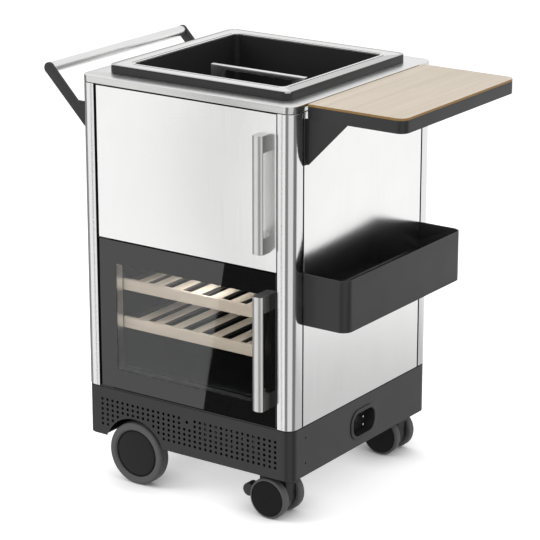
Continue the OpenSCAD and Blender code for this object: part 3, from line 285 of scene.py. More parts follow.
def scored(piece, cuts):
    """Cuts a piece's faces along planes, each a point and a normal, and keeps both sides."""
    only(piece)
    bpy.ops.object.mode_set(mode="EDIT")
    for point, normal in cuts:
        bpy.ops.mesh.select_all(action="SELECT")
        bpy.ops.mesh.bisect(plane_co=point, plane_no=normal)
    bpy.ops.object.mode_set(mode="OBJECT")
    return piece


def block(name, low, high):
    """A box between two corners, ready to be shaped."""
    low, high = Vector(low), Vector(high)
    bpy.ops.object.select_all(action="DESELECT")
    bpy.ops.mesh.primitive_cube_add(size=1.0, location=(low + high) / 2.0)
    piece = bpy.context.object
    piece.name = name
    piece.scale = high - low
    bake_place(piece)
    return piece


def rounded(piece, width, steps, angle):
    apply_modifier(
        piece, "BEVEL", width=width, segments=steps, limit_method="ANGLE",
        angle_limit=math.radians(angle), use_clamp_overlap=True,
    )
    smooth(piece)
    return piece


# Shared effects

SURFACE_OUTPUTS = [
    ("Color", "NodeSocketColor"), ("Roughness", "NodeSocketFloat"), ("Height", "NodeSocketFloat"),
]


def add_node(nodes, kind, inputs=None, **settings):
    """A shader node with its settings, and then the values of its unlinked inputs."""
    node = nodes.new("ShaderNode" + kind)
    for key, value in settings.items():
        setattr(node, key, value)
    for label, value in (inputs or {}).items():
        node.inputs[label].default_value = value
    return node


def wire(links, *pairs):
    """Links each output to the input beside it."""
    for output, target in pairs:
        links.new(output, target)


def effect(name, inputs, outputs):
    """An empty node group with its sockets; returns the group and its two ends."""
    group = bpy.data.node_groups.new(name, "ShaderNodeTree")
    for label, kind, value in inputs:
        socket = group.interface.new_socket(name=label, in_out="INPUT", socket_type=kind)
        if value is not None:
            socket.default_value = value
    for label, kind in outputs:
        group.interface.new_socket(name=label, in_out="OUTPUT", socket_type=kind)
    return group, group.nodes.new("NodeGroupInput"), group.nodes.new("NodeGroupOutput")


def brushed_grain():
    """Fine lines along one direction, with a slow cloudiness over them."""
    group, start, end = effect(
        "Brushed grain",
        [("Vector", "NodeSocketVector", None), ("Stretch", "NodeSocketVector", (700.0, 700.0, 9.0)),
         ("Cloud size", "NodeSocketFloat", 9.0), ("Dark", "NodeSocketColor", (0.7, 0.7, 0.7, 1.0)),
         ("Light", "NodeSocketColor", (0.9, 0.9, 0.9, 1.0)),
         ("Low roughness", "NodeSocketFloat", 0.26), ("High roughness", "NodeSocketFloat", 0.4)],
        SURFACE_OUTPUTS,
    )
    nodes = group.nodes
    scaled = add_node(nodes, "VectorMath", operation="MULTIPLY")
    lines = add_node(nodes, "TexNoise", {"Scale": 1.0, "Detail": 3.0, "Roughness": 0.6})
    cloud = add_node(nodes, "TexNoise", {"Detail": 4.0, "Roughness": 0.55})
    both = add_node(nodes, "Mix", {"Factor": 0.42}, data_type="FLOAT")
    tone = add_node(nodes, "MapRange", {"From Min": 0.32, "From Max": 0.68})
    colour = add_node(nodes, "Mix", data_type="RGBA")
    rough = add_node(nodes, "MapRange")
    wire(
        group.links,
        (start.outputs["Vector"], scaled.inputs[0]),
        (start.outputs["Stretch"], scaled.inputs[1]),
        (start.outputs["Vector"], cloud.inputs["Vector"]),
        (start.outputs["Cloud size"], cloud.inputs["Scale"]),
        (start.outputs["Low roughness"], rough.inputs["To Min"]),
        (start.outputs["High roughness"], rough.inputs["To Max"]),
        (scaled.outputs[0], lines.inputs["Vector"]),
        (lines.outputs["Fac"], both.inputs["A"]),
        (cloud.outputs["Fac"], both.inputs["B"]),
        (both.outputs["Result"], tone.inputs["Value"]),
        (tone.outputs["Result"], colour.inputs["Factor"]),
        (start.outputs["Dark"], colour.inputs["A"]),
        (start.outputs["Light"], colour.inputs["B"]),
        (lines.outputs["Fac"], rough.inputs["Value"]),
        (colour.outputs["Result"], end.inputs["Color"]),
        (rough.outputs["Result"], end.inputs["Roughness"]),
        (lines.outputs["Fac"], end.inputs["Height"]),
    )
    return group


def fine_speckle():
    """Orange-peel speckle of powder coat, moulded plastic and rubber."""
    group, start, end = effect(
        "Fine speckle",
        [("Vector", "NodeSocketVector", None), ("Grain", "NodeSocketFloat", 900.0),
         ("Dark", "NodeSocketColor", (0.01, 0.01, 0.01, 1.0)),
         ("Light", "NodeSocketColor", (0.03, 0.03, 0.03, 1.0)),
         ("Low roughness", "NodeSocketFloat", 0.4), ("High roughness", "NodeSocketFloat", 0.5)],
        SURFACE_OUTPUTS,
    )
    nodes = group.nodes
    grain = add_node(nodes, "TexNoise", {"Detail": 2.0})
    drift = add_node(nodes, "TexNoise", {"Scale": 14.0, "Detail": 3.0})
    colour = add_node(nodes, "Mix", data_type="RGBA")
    rough = add_node(nodes, "MapRange")
    wire(
        group.links,
        (start.outputs["Vector"], grain.inputs["Vector"]),
        (start.outputs["Grain"], grain.inputs["Scale"]),
        (start.outputs["Vector"], drift.inputs["Vector"]),
        (grain.outputs["Fac"], colour.inputs["Factor"]),
        (start.outputs["Dark"], colour.inputs["A"]),
        (start.outputs["Light"], colour.inputs["B"]),
        (drift.outputs["Fac"], rough.inputs["Value"]),
        (start.outputs["Low roughness"], rough.inputs["To Min"]),
        (start.outputs["High roughness"], rough.inputs["To Max"]),
        (colour.outputs["Result"], end.inputs["Color"]),
        (rough.outputs["Result"], end.inputs["Roughness"]),
        (grain.outputs["Fac"], end.inputs["Height"]),
    )
    return group


def wood_grain():
    """Straight pores and slow bands along one direction."""
    group, start, end = effect(
        "Wood grain",
        [("Vector", "NodeSocketVector", None), ("Stretch", "NodeSocketVector", (260.0, 6.0, 260.0)),
         ("Dark", "NodeSocketColor", (0.4, 0.3, 0.2, 1.0)),
         ("Light", "NodeSocketColor", (0.7, 0.6, 0.4, 1.0))],
        SURFACE_OUTPUTS,
    )
    nodes = group.nodes
    scaled = add_node(nodes, "VectorMath", operation="MULTIPLY")
    pores = add_node(nodes, "TexNoise", {"Scale": 1.0, "Detail": 4.0, "Roughness": 0.7})
    slower = add_node(nodes, "VectorMath", {1: (0.13, 0.13, 0.13)}, operation="MULTIPLY")
    bands = add_node(nodes, "TexNoise", {"Scale": 1.0, "Detail": 2.0, "Distortion": 0.6})
    both = add_node(nodes, "Mix", {"Factor": 0.55}, data_type="FLOAT")
    tone = add_node(nodes, "MapRange", {"From Min": 0.30, "From Max": 0.66})
    colour = add_node(nodes, "Mix", data_type="RGBA")
    rough = add_node(nodes, "MapRange", {"To Min": 0.62, "To Max": 0.48})
    wire(
        group.links,
        (start.outputs["Vector"], scaled.inputs[0]),
        (start.outputs["Stretch"], scaled.inputs[1]),
        (scaled.outputs[0], pores.inputs["Vector"]),
        (scaled.outputs[0], slower.inputs[0]),
        (slower.outputs[0], bands.inputs["Vector"]),
        (pores.outputs["Fac"], both.inputs["A"]),
        (bands.outputs["Fac"], both.inputs["B"]),
        (both.outputs["Result"], tone.inputs["Value"]),
        (tone.outputs["Result"], colour.inputs["Factor"]),
        (start.outputs["Dark"], colour.inputs["A"]),
        (start.outputs["Light"], colour.inputs["B"]),
        (both.outputs["Result"], rough.inputs["Value"]),
        (colour.outputs["Result"], end.inputs["Color"]),
        (rough.outputs["Result"], end.inputs["Roughness"]),
        (pores.outputs["Fac"], end.inputs["Height"]),
    )
    return group


EFFECTS = {
    "grain": ("Brushed grain", brushed_grain),
    "speckle": ("Fine speckle", fine_speckle),
    "wood": ("Wood grain", wood_grain),
}


def shared(kind):
    """The node group of an effect, built the first time it is asked for."""
    label, builder = EFFECTS[kind]
    return bpy.data.node_groups.get(label) or builder()


def shade(colour, factor):
    return tuple(min(1.0, channel * factor) for channel in colour[:3]) + (1.0,)


def finish_with(name, kind, values, bump, reach, sockets):
    """A material whose colour, roughness and bump come from a shared effect."""
    made = bpy.data.materials.get(name)
    if made:
        return made
    made = bpy.data.materials.new(name)
    made.use_nodes = True
    nodes = made.node_tree.nodes
    surface = nodes["Principled BSDF"]
    place = add_node(nodes, "TexCoord")
    group = add_node(nodes, "Group", values, node_tree=shared(kind))
    relief = add_node(nodes, "Bump", {"Strength": bump, "Distance": reach})
    for label, value in sockets.items():
        surface.inputs[label].default_value = value
    wire(
        made.node_tree.links,
        (place.outputs["Object"], group.inputs["Vector"]),
        (group.outputs["Color"], surface.inputs["Base Color"]),
        (group.outputs["Roughness"], surface.inputs["Roughness"]),
        (group.outputs["Height"], relief.inputs["Height"]),
        (relief.outputs["Normal"], surface.inputs["Normal"]),
    )
    return made


def brushed_steel(name, colour, stretch, contrast, bump=0.05, low=0.26, high=0.4):
    return finish_with(
        name, "grain",
        {"Stretch": stretch, "Dark": shade(colour, 1.0 - contrast),
         "Light": shade(colour, 1.0 + contrast), "Low roughness": low, "High roughness": high},
        bump, 0.0003, {"Metallic": 1.0},
    )


def coated(name, colour, grain=900.0, low=0.38, high=0.5, bump=0.12, specular=0.5):
    return finish_with(
        name, "speckle",
        {"Grain": grain, "Dark": shade(colour, 0.8), "Light": shade(colour, 1.25),
         "Low roughness": low, "High roughness": high},
        bump, 0.0002, {"Specular IOR Level": specular},
    )


def wooden(name, colour, stretch, contrast):
    return finish_with(
        name, "wood",
        {"Stretch": stretch, "Dark": shade(colour, 1.0 - contrast),
         "Light": shade(colour, 1.0 + contrast)},
        0.15, 0.0003, {"Specular IOR Level": 0.35},
    )


# How finely each direction of the brushing varies, per metre
UPRIGHT = (600.0, 600.0, 5.0)
CROSSWISE = (5.0, 600.0, 600.0)
LENGTHWISE = (600.0, 5.0, 600.0)


def panel_steel():
    return brushed_steel("Panel steel", colours().panel, UPRIGHT, contrast=0.03, bump=0.004,
                         low=0.18, high=0.24)


def post_steel():
    return brushed_steel("Post steel", colours().post, UPRIGHT, contrast=0.012, bump=0.002,
                         low=0.15, high=0.17)


def worktop_steel():
    return brushed_steel("Worktop steel", colours().panel, CROSSWISE, contrast=0.03)


def handle_steel():
    return brushed_steel("Handle steel", colours().handle, UPRIGHT, contrast=0.05)


# Painted shade: a darker copy of the worktop's steel for its upright edges
def shaded_fold_steel():
    return brushed_steel("Shaded fold steel", (0.70, 0.70, 0.69), CROSSWISE, contrast=0.05, bump=0.01,
                         low=0.14, high=0.22)


def flange_steel():
    return brushed_steel("Flange steel", (0.66, 0.66, 0.655), CROSSWISE, contrast=0.04, bump=0.02)


# Painted shade: a darker copy of the handle steel for the handles' side faces
def shaded_handle_side():
    return brushed_steel("Shaded handle side", (0.40, 0.40, 0.39), UPRIGHT, contrast=0.06,
                         low=0.45, high=0.6)


def tube_steel():
    return brushed_steel("Tube steel", colours().panel, LENGTHWISE, contrast=0.04, bump=0.04)


def turned_steel():
    return brushed_steel("Turned steel", (0.6, 0.6, 0.6), LENGTHWISE, contrast=0.06, bump=0.04)


def black_coat():
    return coated("Black coat", colours().black, grain=1100.0, low=0.36, high=0.46, bump=0.10)


def chassis_coat():
    return coated("Chassis coat", (0.035, 0.035, 0.037), grain=700.0, low=0.5, high=0.65)


def black_plastic():
    return coated("Black plastic", colours().plastic, grain=1300.0, low=0.38, high=0.5, bump=0.08)


def grey_plastic():
    return coated("Grey plastic", (0.16, 0.16, 0.17), grain=1200.0, low=0.4, high=0.55, bump=0.06)


def tyre_rubber():
    return coated("Tyre rubber", colours().rubber, grain=1500.0, low=0.55, high=0.7, bump=0.12)


def gasket_rubber():
    return coated("Gasket rubber", (0.05, 0.05, 0.05), grain=1000.0, low=0.6, high=0.75)


def white_liner():
    return coated("White liner", (0.62, 0.63, 0.64), grain=500.0, low=0.3, high=0.4, bump=0.02)


def wall_foam():
    return coated("Wall foam", (0.66, 0.57, 0.34), grain=420.0, low=0.8, high=0.95, bump=0.5)


def shelf_wood():
    return wooden("Shelf wood", colours().slat, (600.0, 14.0, 600.0), contrast=0.10)


def rail_wood():
    return wooden("Rail wood", colours().slat, (14.0, 600.0, 600.0), contrast=0.10)


def board_wood():
    return wooden("Board wood", colours().board, (420.0, 7.0, 420.0), contrast=0.10)


def glass_finish(name, colour, ior):
    """A polished pane, with faint smears in its tint."""
    return finish_with(
        name, "speckle",
        {"Grain": 6.0, "Dark": shade(colour, 0.96), "Light": shade(colour, 1.04),
         "Low roughness": 0.0, "High roughness": 0.02},
        0.0, 0.0001, {"Transmission Weight": 1.0, "IOR": ior},
    )


# Painted shade: a near-black coat for faces that look into gaps, grooves and seams, where shade
# falls
def painted_seam_shade():
    return coated("Painted seam shade", (0.006, 0.006, 0.006), grain=800.0, low=0.75, high=0.85, bump=0.0,
                  specular=0.1)


def glass_border():
    """Black print behind the polished glass."""
    return finish_with(
        "Glass border", "speckle",
        {"Grain": 40.0, "Dark": (0.002, 0.002, 0.002, 1.0), "Light": (0.004, 0.004, 0.0042, 1.0),
         "Low roughness": 0.0, "High roughness": 0.012},
        0.0, 0.0001, {"IOR": 1.7},
    )


def frame_black():
    return coated("Frame black", (0.006, 0.006, 0.0065), grain=900.0, low=0.5, high=0.6, bump=0.0,
                  specular=0.2)


def lining_metal():
    return brushed_steel("Lining metal", (0.95, 0.95, 0.94), UPRIGHT, contrast=0.04, bump=0.03)


# Painted shade: near-black wood for the slats' sides and undersides and the shelf's side members,
# where shade falls
def painted_slat_shade():
    return wooden("Painted slat shade", (0.05, 0.042, 0.034), (600.0, 14.0, 600.0), contrast=0.2)


def dark_liner():
    return coated("Dark liner", (0.005, 0.005, 0.0055), grain=500.0, low=0.8, high=0.9, bump=0.03,
                  specular=0.02)


def wheel_cap():
    return coated("Wheel cap", (0.010, 0.010, 0.011), grain=1500.0, low=0.36, high=0.46, bump=0.04,
                  specular=0.22)


def castor_shell():
    return coated("Castor shell", (0.010, 0.010, 0.011), grain=1300.0, low=0.3, high=0.4, bump=0.04,
                  specular=0.25)


def castor_cap():
    return coated("Castor cap", (0.008, 0.008, 0.0085), grain=1500.0, low=0.4, high=0.5, bump=0.04,
                  specular=0.12)


def board_rim():
    return wooden("Board rim", colours().board_edge, (420.0, 7.0, 420.0), contrast=0.15)


# Operators


class CART_OT_stage(bpy.types.Operator):
    """Builds the floor, the lamps, the world and the camera"""

    bl_idname = "cart.stage"
    bl_label = "Stage"

    def execute(self, context):
        scene = context.scene
        scene.view_settings.view_transform = "Standard"
        self.floor()
        self.world(scene)
        self.lamp("Window left", (-2.6, -2.4, 2.9), (0.0, 0.0, 0.5), (2.2, 2.2), 62.0)
        self.lamp("Window front", (1.2, -3.8, 2.4), (0.0, 0.0, 0.5), (2.6, 2.6), 30.0)
        self.lamp("Window right", (3.4, 0.6, 2.6), (0.0, 0.0, 0.5), (2.2, 2.2), 34.0)
        self.lamp("Ceiling", (0.0, 0.4, 3.6), (0.0, 0.0, 0.9), (3.0, 3.0), 40.0)
        low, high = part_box("lower_liner")
        middle = (low + high) / 2.0
        strip = (middle.x + 0.02, low.y + 0.02)
        self.lamp("Cabinet light", strip + (high.z - 0.006,), strip + (low.z,), (0.12, 0.02), 0.7)
        fill = self.lamp("Cabinet fill", (middle.x, low.y - 0.008, middle.z),
                         (middle.x, high.y, middle.z), (0.424, 0.28), 0.21)
        fill.data.shape = "RECTANGLE"
        fill.visible_camera = False
        fill.visible_transmission = False
        self.camera(scene)
        return {"FINISHED"}

    def floor(self):
        """A pale floor that glows white for the camera, less where the cart stands close."""
        bpy.ops.object.select_all(action="DESELECT")
        bpy.ops.mesh.primitive_plane_add(size=60.0, location=(0.0, 0.0, 0.0))
        floor = bpy.context.object
        floor.name = "Floor"
        made = bpy.data.materials.new("Floor white")
        made.use_nodes = True
        nodes = made.node_tree.nodes
        nodes.clear()
        end = add_node(nodes, "OutputMaterial")
        matt = add_node(nodes, "BsdfDiffuse", {"Color": (0.8, 0.8, 0.8, 1.0)})
        glow = add_node(nodes, "Emission")
        path = add_node(nodes, "LightPath")
        seen = add_node(nodes, "Math", operation="MAXIMUM")
        near = add_node(nodes, "AmbientOcclusion", {"Distance": SHADE_REACH}, samples=8)
        soft = add_node(nodes, "Math", {1: SHADE_DEPTH}, operation="POWER")
        glowing = add_node(nodes, "Math", {1: FLOOR_GLOW}, operation="MULTIPLY")
        level = add_node(nodes, "Math", operation="MULTIPLY")
        both = add_node(nodes, "AddShader")
        wire(
            made.node_tree.links,
            (path.outputs["Is Camera Ray"], seen.inputs[0]),
            (path.outputs["Is Transmission Ray"], seen.inputs[1]),
            (near.outputs["AO"], soft.inputs[0]),
            (soft.outputs[0], glowing.inputs[0]),
            (seen.outputs[0], level.inputs[0]),
            (glowing.outputs[0], level.inputs[1]),
            (level.outputs[0], glow.inputs["Strength"]),
            (matt.outputs[0], both.inputs[0]),
            (glow.outputs[0], both.inputs[1]),
            (both.outputs[0], end.inputs["Surface"]),
        )
        floor.data.materials.append(made)
        floor.visible_glossy = False
        floor.visible_transmission = False

    def world(self, scene):
        """White all round, and for reflections a ring of white windows and grey studio walls."""
        world = bpy.data.worlds.new("Studio")
        scene.world = world
        world.use_nodes = True
        nodes, links = world.node_tree.nodes, world.node_tree.links
        nodes.clear()

        def maths(operation, *values):
            node = add_node(nodes, "Math", operation=operation)
            for socket, value in zip(node.inputs, values):
                if isinstance(value, (int, float)):
                    socket.default_value = value
                else:
                    links.new(value, socket)
            return node.outputs[0]

        place = add_node(nodes, "TexCoord")
        parts = add_node(nodes, "SeparateXYZ")
        links.new(place.outputs["Generated"], parts.inputs[0])
        bearing = maths("ARCTAN2", parts.outputs[0], maths("MULTIPLY", parts.outputs[1], -1.0))
        height = maths("ARCSINE", parts.outputs[2])
        lean = maths("MULTIPLY_ADD", height, BAND_LEAN, BAND_LEAN * math.radians(UPRIGHT_BELOW))
        leaned = maths("ADD", bearing, lean)
        turn = maths("MULTIPLY_ADD", leaned, 0.5 / math.pi, 0.5)
        screen = maths(
            "COMPARE", leaned, math.radians(SCREEN_BEARING), math.radians(SCREEN_HALF_WIDTH)
        )
        # Past the last wall the studio dims towards the floor, which shades the side panel's foot
        low = add_node(nodes, "MapRange", {
            "From Min": math.radians(-20.0), "From Max": math.radians(-26.0), "To Max": 0.42,
        })
        links.new(height, low.inputs["Value"])
        beyond = maths("GREATER_THAN", bearing, math.radians(118.0))
        dimmed = maths("MULTIPLY", beyond, low.outputs["Result"])
        unscreened = maths("MULTIPLY_ADD", screen, -SCREEN_DARK, 1.0)
        shaded = maths("MULTIPLY", unscreened, maths("SUBTRACT", 1.0, dimmed))
        ring = add_node(nodes, "ValToRGB")
        self.bands(ring.color_ramp)
        upward = add_node(nodes, "MapRange", {"From Min": 0.10, "From Max": 0.22})
        sky = add_node(nodes, "Mix", {"B": SKY_TONE}, data_type="RGBA")
        walls = add_node(nodes, "Mix", {"A": (0.0, 0.0, 0.0, 1.0)}, data_type="RGBA")
        path = add_node(nodes, "LightPath")
        through = path.outputs["Is Transmission Ray"]
        seen = maths("MAXIMUM", path.outputs["Is Camera Ray"], through)
        tone = add_node(
            nodes, "Mix", {"A": AMBIENT_TONE, "B": (1.0, 1.0, 1.0, 1.0)}, data_type="RGBA"
        )
        final = add_node(nodes, "Mix", data_type="RGBA")
        light = add_node(nodes, "Background")
        end = add_node(nodes, "OutputWorld")
        glass_dark = maths("MULTIPLY", maths("MULTIPLY", through, screen), SCREEN_DARK)
        wire(
            links,
            (turn, ring.inputs["Fac"]),
            (parts.outputs[2], upward.inputs["Value"]),
            (shaded, walls.inputs["Factor"]),
            (ring.outputs["Color"], walls.inputs["B"]),
            (upward.outputs["Result"], sky.inputs["Factor"]),
            (walls.outputs["Result"], sky.inputs["A"]),
            (seen, tone.inputs["Factor"]),
            (path.outputs["Is Glossy Ray"], final.inputs["Factor"]),
            (tone.outputs["Result"], final.inputs["A"]),
            (sky.outputs["Result"], final.inputs["B"]),
            (maths("SUBTRACT", 1.0, glass_dark), light.inputs["Strength"]),
            (final.outputs["Result"], light.inputs["Color"]),
            (light.outputs[0], end.inputs["Surface"]),
        )

    def bands(self, ramp):
        """Writes the studio's windows and walls into a colour ramp over the whole turn."""
        stops = []
        for start, stop, level in STUDIO_BANDS:
            stops += [(start, level), (stop, level)]
        while len(ramp.elements) > 1:
            ramp.elements.remove(ramp.elements[-1])
        for index, (bearing, level) in enumerate(stops):
            place = (bearing + 180.0) / 360.0
            stop = ramp.elements[0] if index == 0 else ramp.elements.new(place)
            stop.position = place
            stop.color = (level, level, level, 1.0)

    def lamp(self, name, place, target, size, power):
        data = bpy.data.lights.new(name, "AREA")
        data.shape = "ELLIPSE"
        data.size, data.size_y = size
        data.energy = power
        lamp = bpy.data.objects.new(name, data)
        bpy.context.scene.collection.objects.link(lamp)
        lamp.location = place
        lamp.rotation_euler = (Vector(target) - Vector(place)).to_track_quat("-Z", "Y").to_euler()
        lamp.visible_glossy = False
        return lamp

    def camera(self, scene):
        data = bpy.data.cameras.new("Camera")
        camera = bpy.data.objects.new("Camera", data)
        scene.collection.objects.link(camera)
        camera.location = (3.1378, -4.5531, 2.2503)
        camera.rotation_euler = (math.radians(90.0 - 17.461), 0.0, math.radians(34.722))
        data.sensor_width = 36.0
        data.lens = 160.62
        data.clip_end = 100.0
        scene.camera = camera


class CART_OT_case(bpy.types.Operator):
    """Dresses the posts, the side and back panels, the worktop and the plinth"""

    bl_idname = "cart.case"
    bl_label = "Case"

    def execute(self, context):
        edge = sizes().sheet_edge
        for node in ("post_front_left", "post_front_right", "post_rear_left", "post_rear_right"):
            post = softened(node, node + "_steel", edge)
            dress(post, "cart", "brushed_post", post_steel(), node)
            low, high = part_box(node)
            self.shade_seams(post, (low + high) / 2.0)
        for node in ("side_panel_left", "side_panel_right", "back_panel"):
            panel = softened(node, node + "_steel", edge)
            dress(panel, "cart", "brushed_panel", panel_steel(), node)
            # Painted shade: the panel's folded edges that face the grooves at the posts get the
            # dark seam coat
            along = 0 if node == "back_panel" else 1
            repaint(panel, painted_seam_shade(), lambda centre, normal: abs(normal[along]) > 0.8)
        top = softened("worktop", "worktop_plate", sizes().panel_edge)
        dress(top, "cart", "worktop_steel", worktop_steel(), "worktop")
        # Painted shadow line: the worktop's underside and lowest strip get the dark seam coat,
        # where shade falls under it
        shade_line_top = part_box("worktop")[0].z + 0.0016
        # Painted shade: the worktop's front and side edges are darker than its top
        repaint(top, shaded_fold_steel(), lambda centre, normal: abs(normal.z) < 0.35)
        repaint(top, painted_seam_shade(), lambda centre, normal: centre.z < shade_line_top)
        paint_node("plinth_skirt", black_coat())
        dress(
            softened("inlet_bezel", "inlet_socket", sizes().moulded_edge),
            "cart", "black_plastic", black_plastic(), "inlet_bezel",
        )
        for node in ("chassis_pan", "chassis_deck"):
            paint_node(node, chassis_coat())
        for node in ("wheel_axle", "hook_pegs", "inlet_pins"):
            paint_node(node, turned_steel())
        paint_node("hinge_plates", chassis_coat())
        return {"FINISHED"}

    def shade_seams(self, post, middle):
        """Darkens the two sides of a post that face a gap, where no light gets in."""
        across = math.copysign(1.0, CAD_MIDDLE.x - middle.x)
        along = math.copysign(1.0, CAD_MIDDLE.y - middle.y)
        repaint(
            post, painted_seam_shade(),
            lambda centre, normal: normal.x * across > 0.45 or normal.y * along > 0.45,
        )


class CART_OT_inside(bpy.types.Operator):
    """Dresses the insulation, the liners, the front frame and the machine space"""

    bl_idname = "cart.inside"
    bl_label = "Inside"

    def execute(self, context):
        paint_node("insulation", wall_foam())
        paint_node("upper_liner", white_liner())
        for node in ("lower_liner", "shelf_runners"):
            paint_node(node, dark_liner())
        paint_node("front_frame", black_plastic())
        paint_node("compressor", chassis_coat())
        paint_node("condenser", turned_steel())
        paint_node("fan_housing", black_plastic())
        paint_node("fan_rotor", grey_plastic())
        paint_node("control_box", grey_plastic())
        return {"FINISHED"}


class CART_OT_basin(bpy.types.Operator):
    """Dresses the basin, its collar, its flange and the divider"""

    bl_idname = "cart.basin"
    bl_label = "Basin"

    def execute(self, context):
        dress(
            softened("basin_collar", "basin_black_collar", sizes().moulded_edge),
            "cart", "black_plastic", black_plastic(), "basin_collar",
        )
        self.flange()
        paint_node("basin_tub", black_plastic())
        paint_node("basin_drain", turned_steel())
        dress(
            softened("basin_divider", "basin_divider_plate", sizes().panel_edge),
            "divider", "satin_steel", tube_steel(), "basin_divider",
        )
        return {"FINISHED"}

    def flange(self):
        """The steel flange: a black outer rim, and a flat strip of painted groove shade that sets
        off the inner lip.
        """
        low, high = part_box("basin_flange")
        middle = (low + high) / 2.0
        half = (high - low) / 2.0
        lip, groove, rim = sizes().flange_lip, sizes().flange_groove_shade, sizes().flange_rim
        hole = sizes().flange_width
        piece = merged_copy("basin_flange", "basin_steel_flange")
        only(piece)
        bpy.ops.object.mode_set(mode="EDIT")
        bpy.ops.mesh.select_all(action="DESELECT")
        bpy.ops.object.mode_set(mode="OBJECT")
        for face in piece.data.polygons:
            face.select = face.normal.z > 0.9 and face.center.z > high.z - 0.0003
        bpy.ops.object.mode_set(mode="EDIT")
        bpy.ops.mesh.select_mode(type="FACE")
        for width in (rim, lip - rim, groove):
            bpy.ops.mesh.inset(thickness=width, depth=0.0, use_boundary=True, use_even_offset=True)
        bpy.ops.mesh.select_mode(type="VERT")
        bpy.ops.object.mode_set(mode="OBJECT")
        smooth(piece)
        dress(piece, "cart", "satin_steel", flange_steel(), "basin_flange")

        def from_outside(centre):
            return min(half.x - abs(centre.x - middle.x), half.y - abs(centre.y - middle.y))

        # Painted shade: a dark strip on the flat top, in place of a groove between the steel and
        # the inner lip
        repaint(
            piece, painted_seam_shade(),
            lambda centre, normal: normal.z > 0.9
            and hole - lip - groove < from_outside(centre) < hole - lip,
        )
        repaint(piece, worktop_steel(), lambda centre, normal: from_outside(centre) > hole - lip)
        repaint(
            piece, black_plastic(),
            lambda centre, normal: from_outside(centre) < rim and normal.z > -0.5,
        )


class CART_OT_doors(bpy.types.Operator):
    """Dresses both doors, their glass, gaskets and handles"""

    bl_idname = "cart.doors"
    bl_label = "Doors"

    def execute(self, context):
        skin = softened("upper_door_skin", "upper_door_sheet", sizes().sheet_edge)
        dress(skin, "upper_door", "brushed_panel", panel_steel(), "upper_door_skin")
        # Painted shade: the skin's side, top and bottom returns, which face the gaps round the
        # door, get the dark seam coat
        repaint(
            skin, painted_seam_shade(),
            lambda centre, normal: abs(normal.x) > 0.55 or abs(normal.z) > 0.55,
        )
        paint_node("upper_door_core", white_liner())
        for node in ("upper_door_gasket", "lower_door_gasket"):
            paint_node(node, gasket_rubber())
        paint_node("lower_door_frame", frame_black())
        paint_node("window_lining", lining_metal())
        self.pane()
        paint_node("lower_door_inner_glass", glass_finish("Clear glass", (0.96, 0.97, 0.97), 1.12))
        for level in ("upper", "lower"):
            self.grip(level)
        return {"FINISHED"}

    def pane(self):
        """The outer glass: printed black on its border, clear inside the window's lining."""
        low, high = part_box("window_lining")
        metal = Vector((1.0, 1.0, 1.0)) * sizes().lining
        low, high = low + metal, high - metal
        pane = merged_copy("lower_door_glass", "lower_door_pane")
        scored(pane, [(low, (1.0, 0.0, 0.0)), (high, (1.0, 0.0, 0.0)),
                      (low, (0.0, 0.0, 1.0)), (high, (0.0, 0.0, 1.0))])
        only(pane)
        bpy.ops.object.shade_flat()
        dress(pane, "lower_door", "tinted_glass", glass_border(), "lower_door_glass")
        repaint(
            pane, glass_finish("Tinted glass", (0.84, 0.85, 0.86), 1.45),
            lambda centre, normal: low.x < centre.x < high.x and low.z < centre.z < high.z
            and abs(normal.y) > 0.9,
        )

    def grip(self, level):
        """A door handle with a crowned front, cut from a bar and hollowed for the fingers."""
        node = level + "_door_handle"
        low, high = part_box(node)
        half = (high.x - low.x) / 2.0
        crown = sizes().handle_crown
        radius = (half * half + crown * crown) / (2.0 * crown)
        bar = block(level + "_grip", low, high)
        bpy.ops.object.select_all(action="DESELECT")
        bpy.ops.mesh.primitive_cylinder_add(
            vertices=144, radius=radius, depth=(high.z - low.z) * 1.2,
            location=((low.x + high.x) / 2.0, low.y + radius, (low.z + high.z) / 2.0),
        )
        front = bpy.context.object
        bake_place(front)
        only(front)
        bpy.ops.object.mode_set(mode="EDIT")
        bpy.ops.mesh.select_all(action="SELECT")
        bpy.ops.mesh.bisect(
            plane_co=(0.0, low.y + crown + 0.0001, 0.0), plane_no=(0.0, 1.0, 0.0),
            clear_outer=True, use_fill=True,
        )
        bpy.ops.object.mode_set(mode="OBJECT")
        rear = block("rear", (low.x, low.y + crown, low.z), high)
        shape = combined(front, rear, "UNION")
        bar = combined(bar, shape, "INTERSECT")
        step = sizes().handle_block
        gap = block(
            "gap", (low.x - 0.01, low.y + sizes().handle_bar, low.z + step),
            (high.x + 0.01, high.y + 0.01, high.z - step),
        )
        bar = combined(bar, gap, "DIFFERENCE")
        rounded(bar, 0.0005, steps=2, angle=40.0)
        dress(bar, level + "_door", "satin_steel", handle_steel(), node)
        # Painted shade: the faces turned sideways are darker than the front
        repaint(bar, shaded_handle_side(), lambda centre, normal: abs(normal.x) > 0.8)


class CART_OT_shelves(bpy.types.Operator):
    """Dresses the two wine shelves"""

    bl_idname = "cart.shelves"
    bl_label = "Wine shelves"

    def execute(self, context):
        for level in ("upper", "lower"):
            node = level + "_wine_shelf"
            low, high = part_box(node)
            shelf = softened(node, level + "_shelf_slats", sizes().wood_edge, joined=False)
            dress(shelf, level + "_shelf", "pale_wood", shelf_wood(), node)
            front_rail_end = low.y + sizes().rail
            slat_face = high.z - 0.0012
            repaint(shelf, rail_wood(), lambda centre, normal: centre.y < front_rail_end)
            # Painted shade: behind the front rail, the slats' sides and all faces below their tops
            # get the dark wood
            repaint(
                shelf, painted_slat_shade(),
                lambda centre, normal: centre.y > front_rail_end
                and (centre.z < slat_face or abs(normal.x) > 0.8),
            )
        return {"FINISHED"}


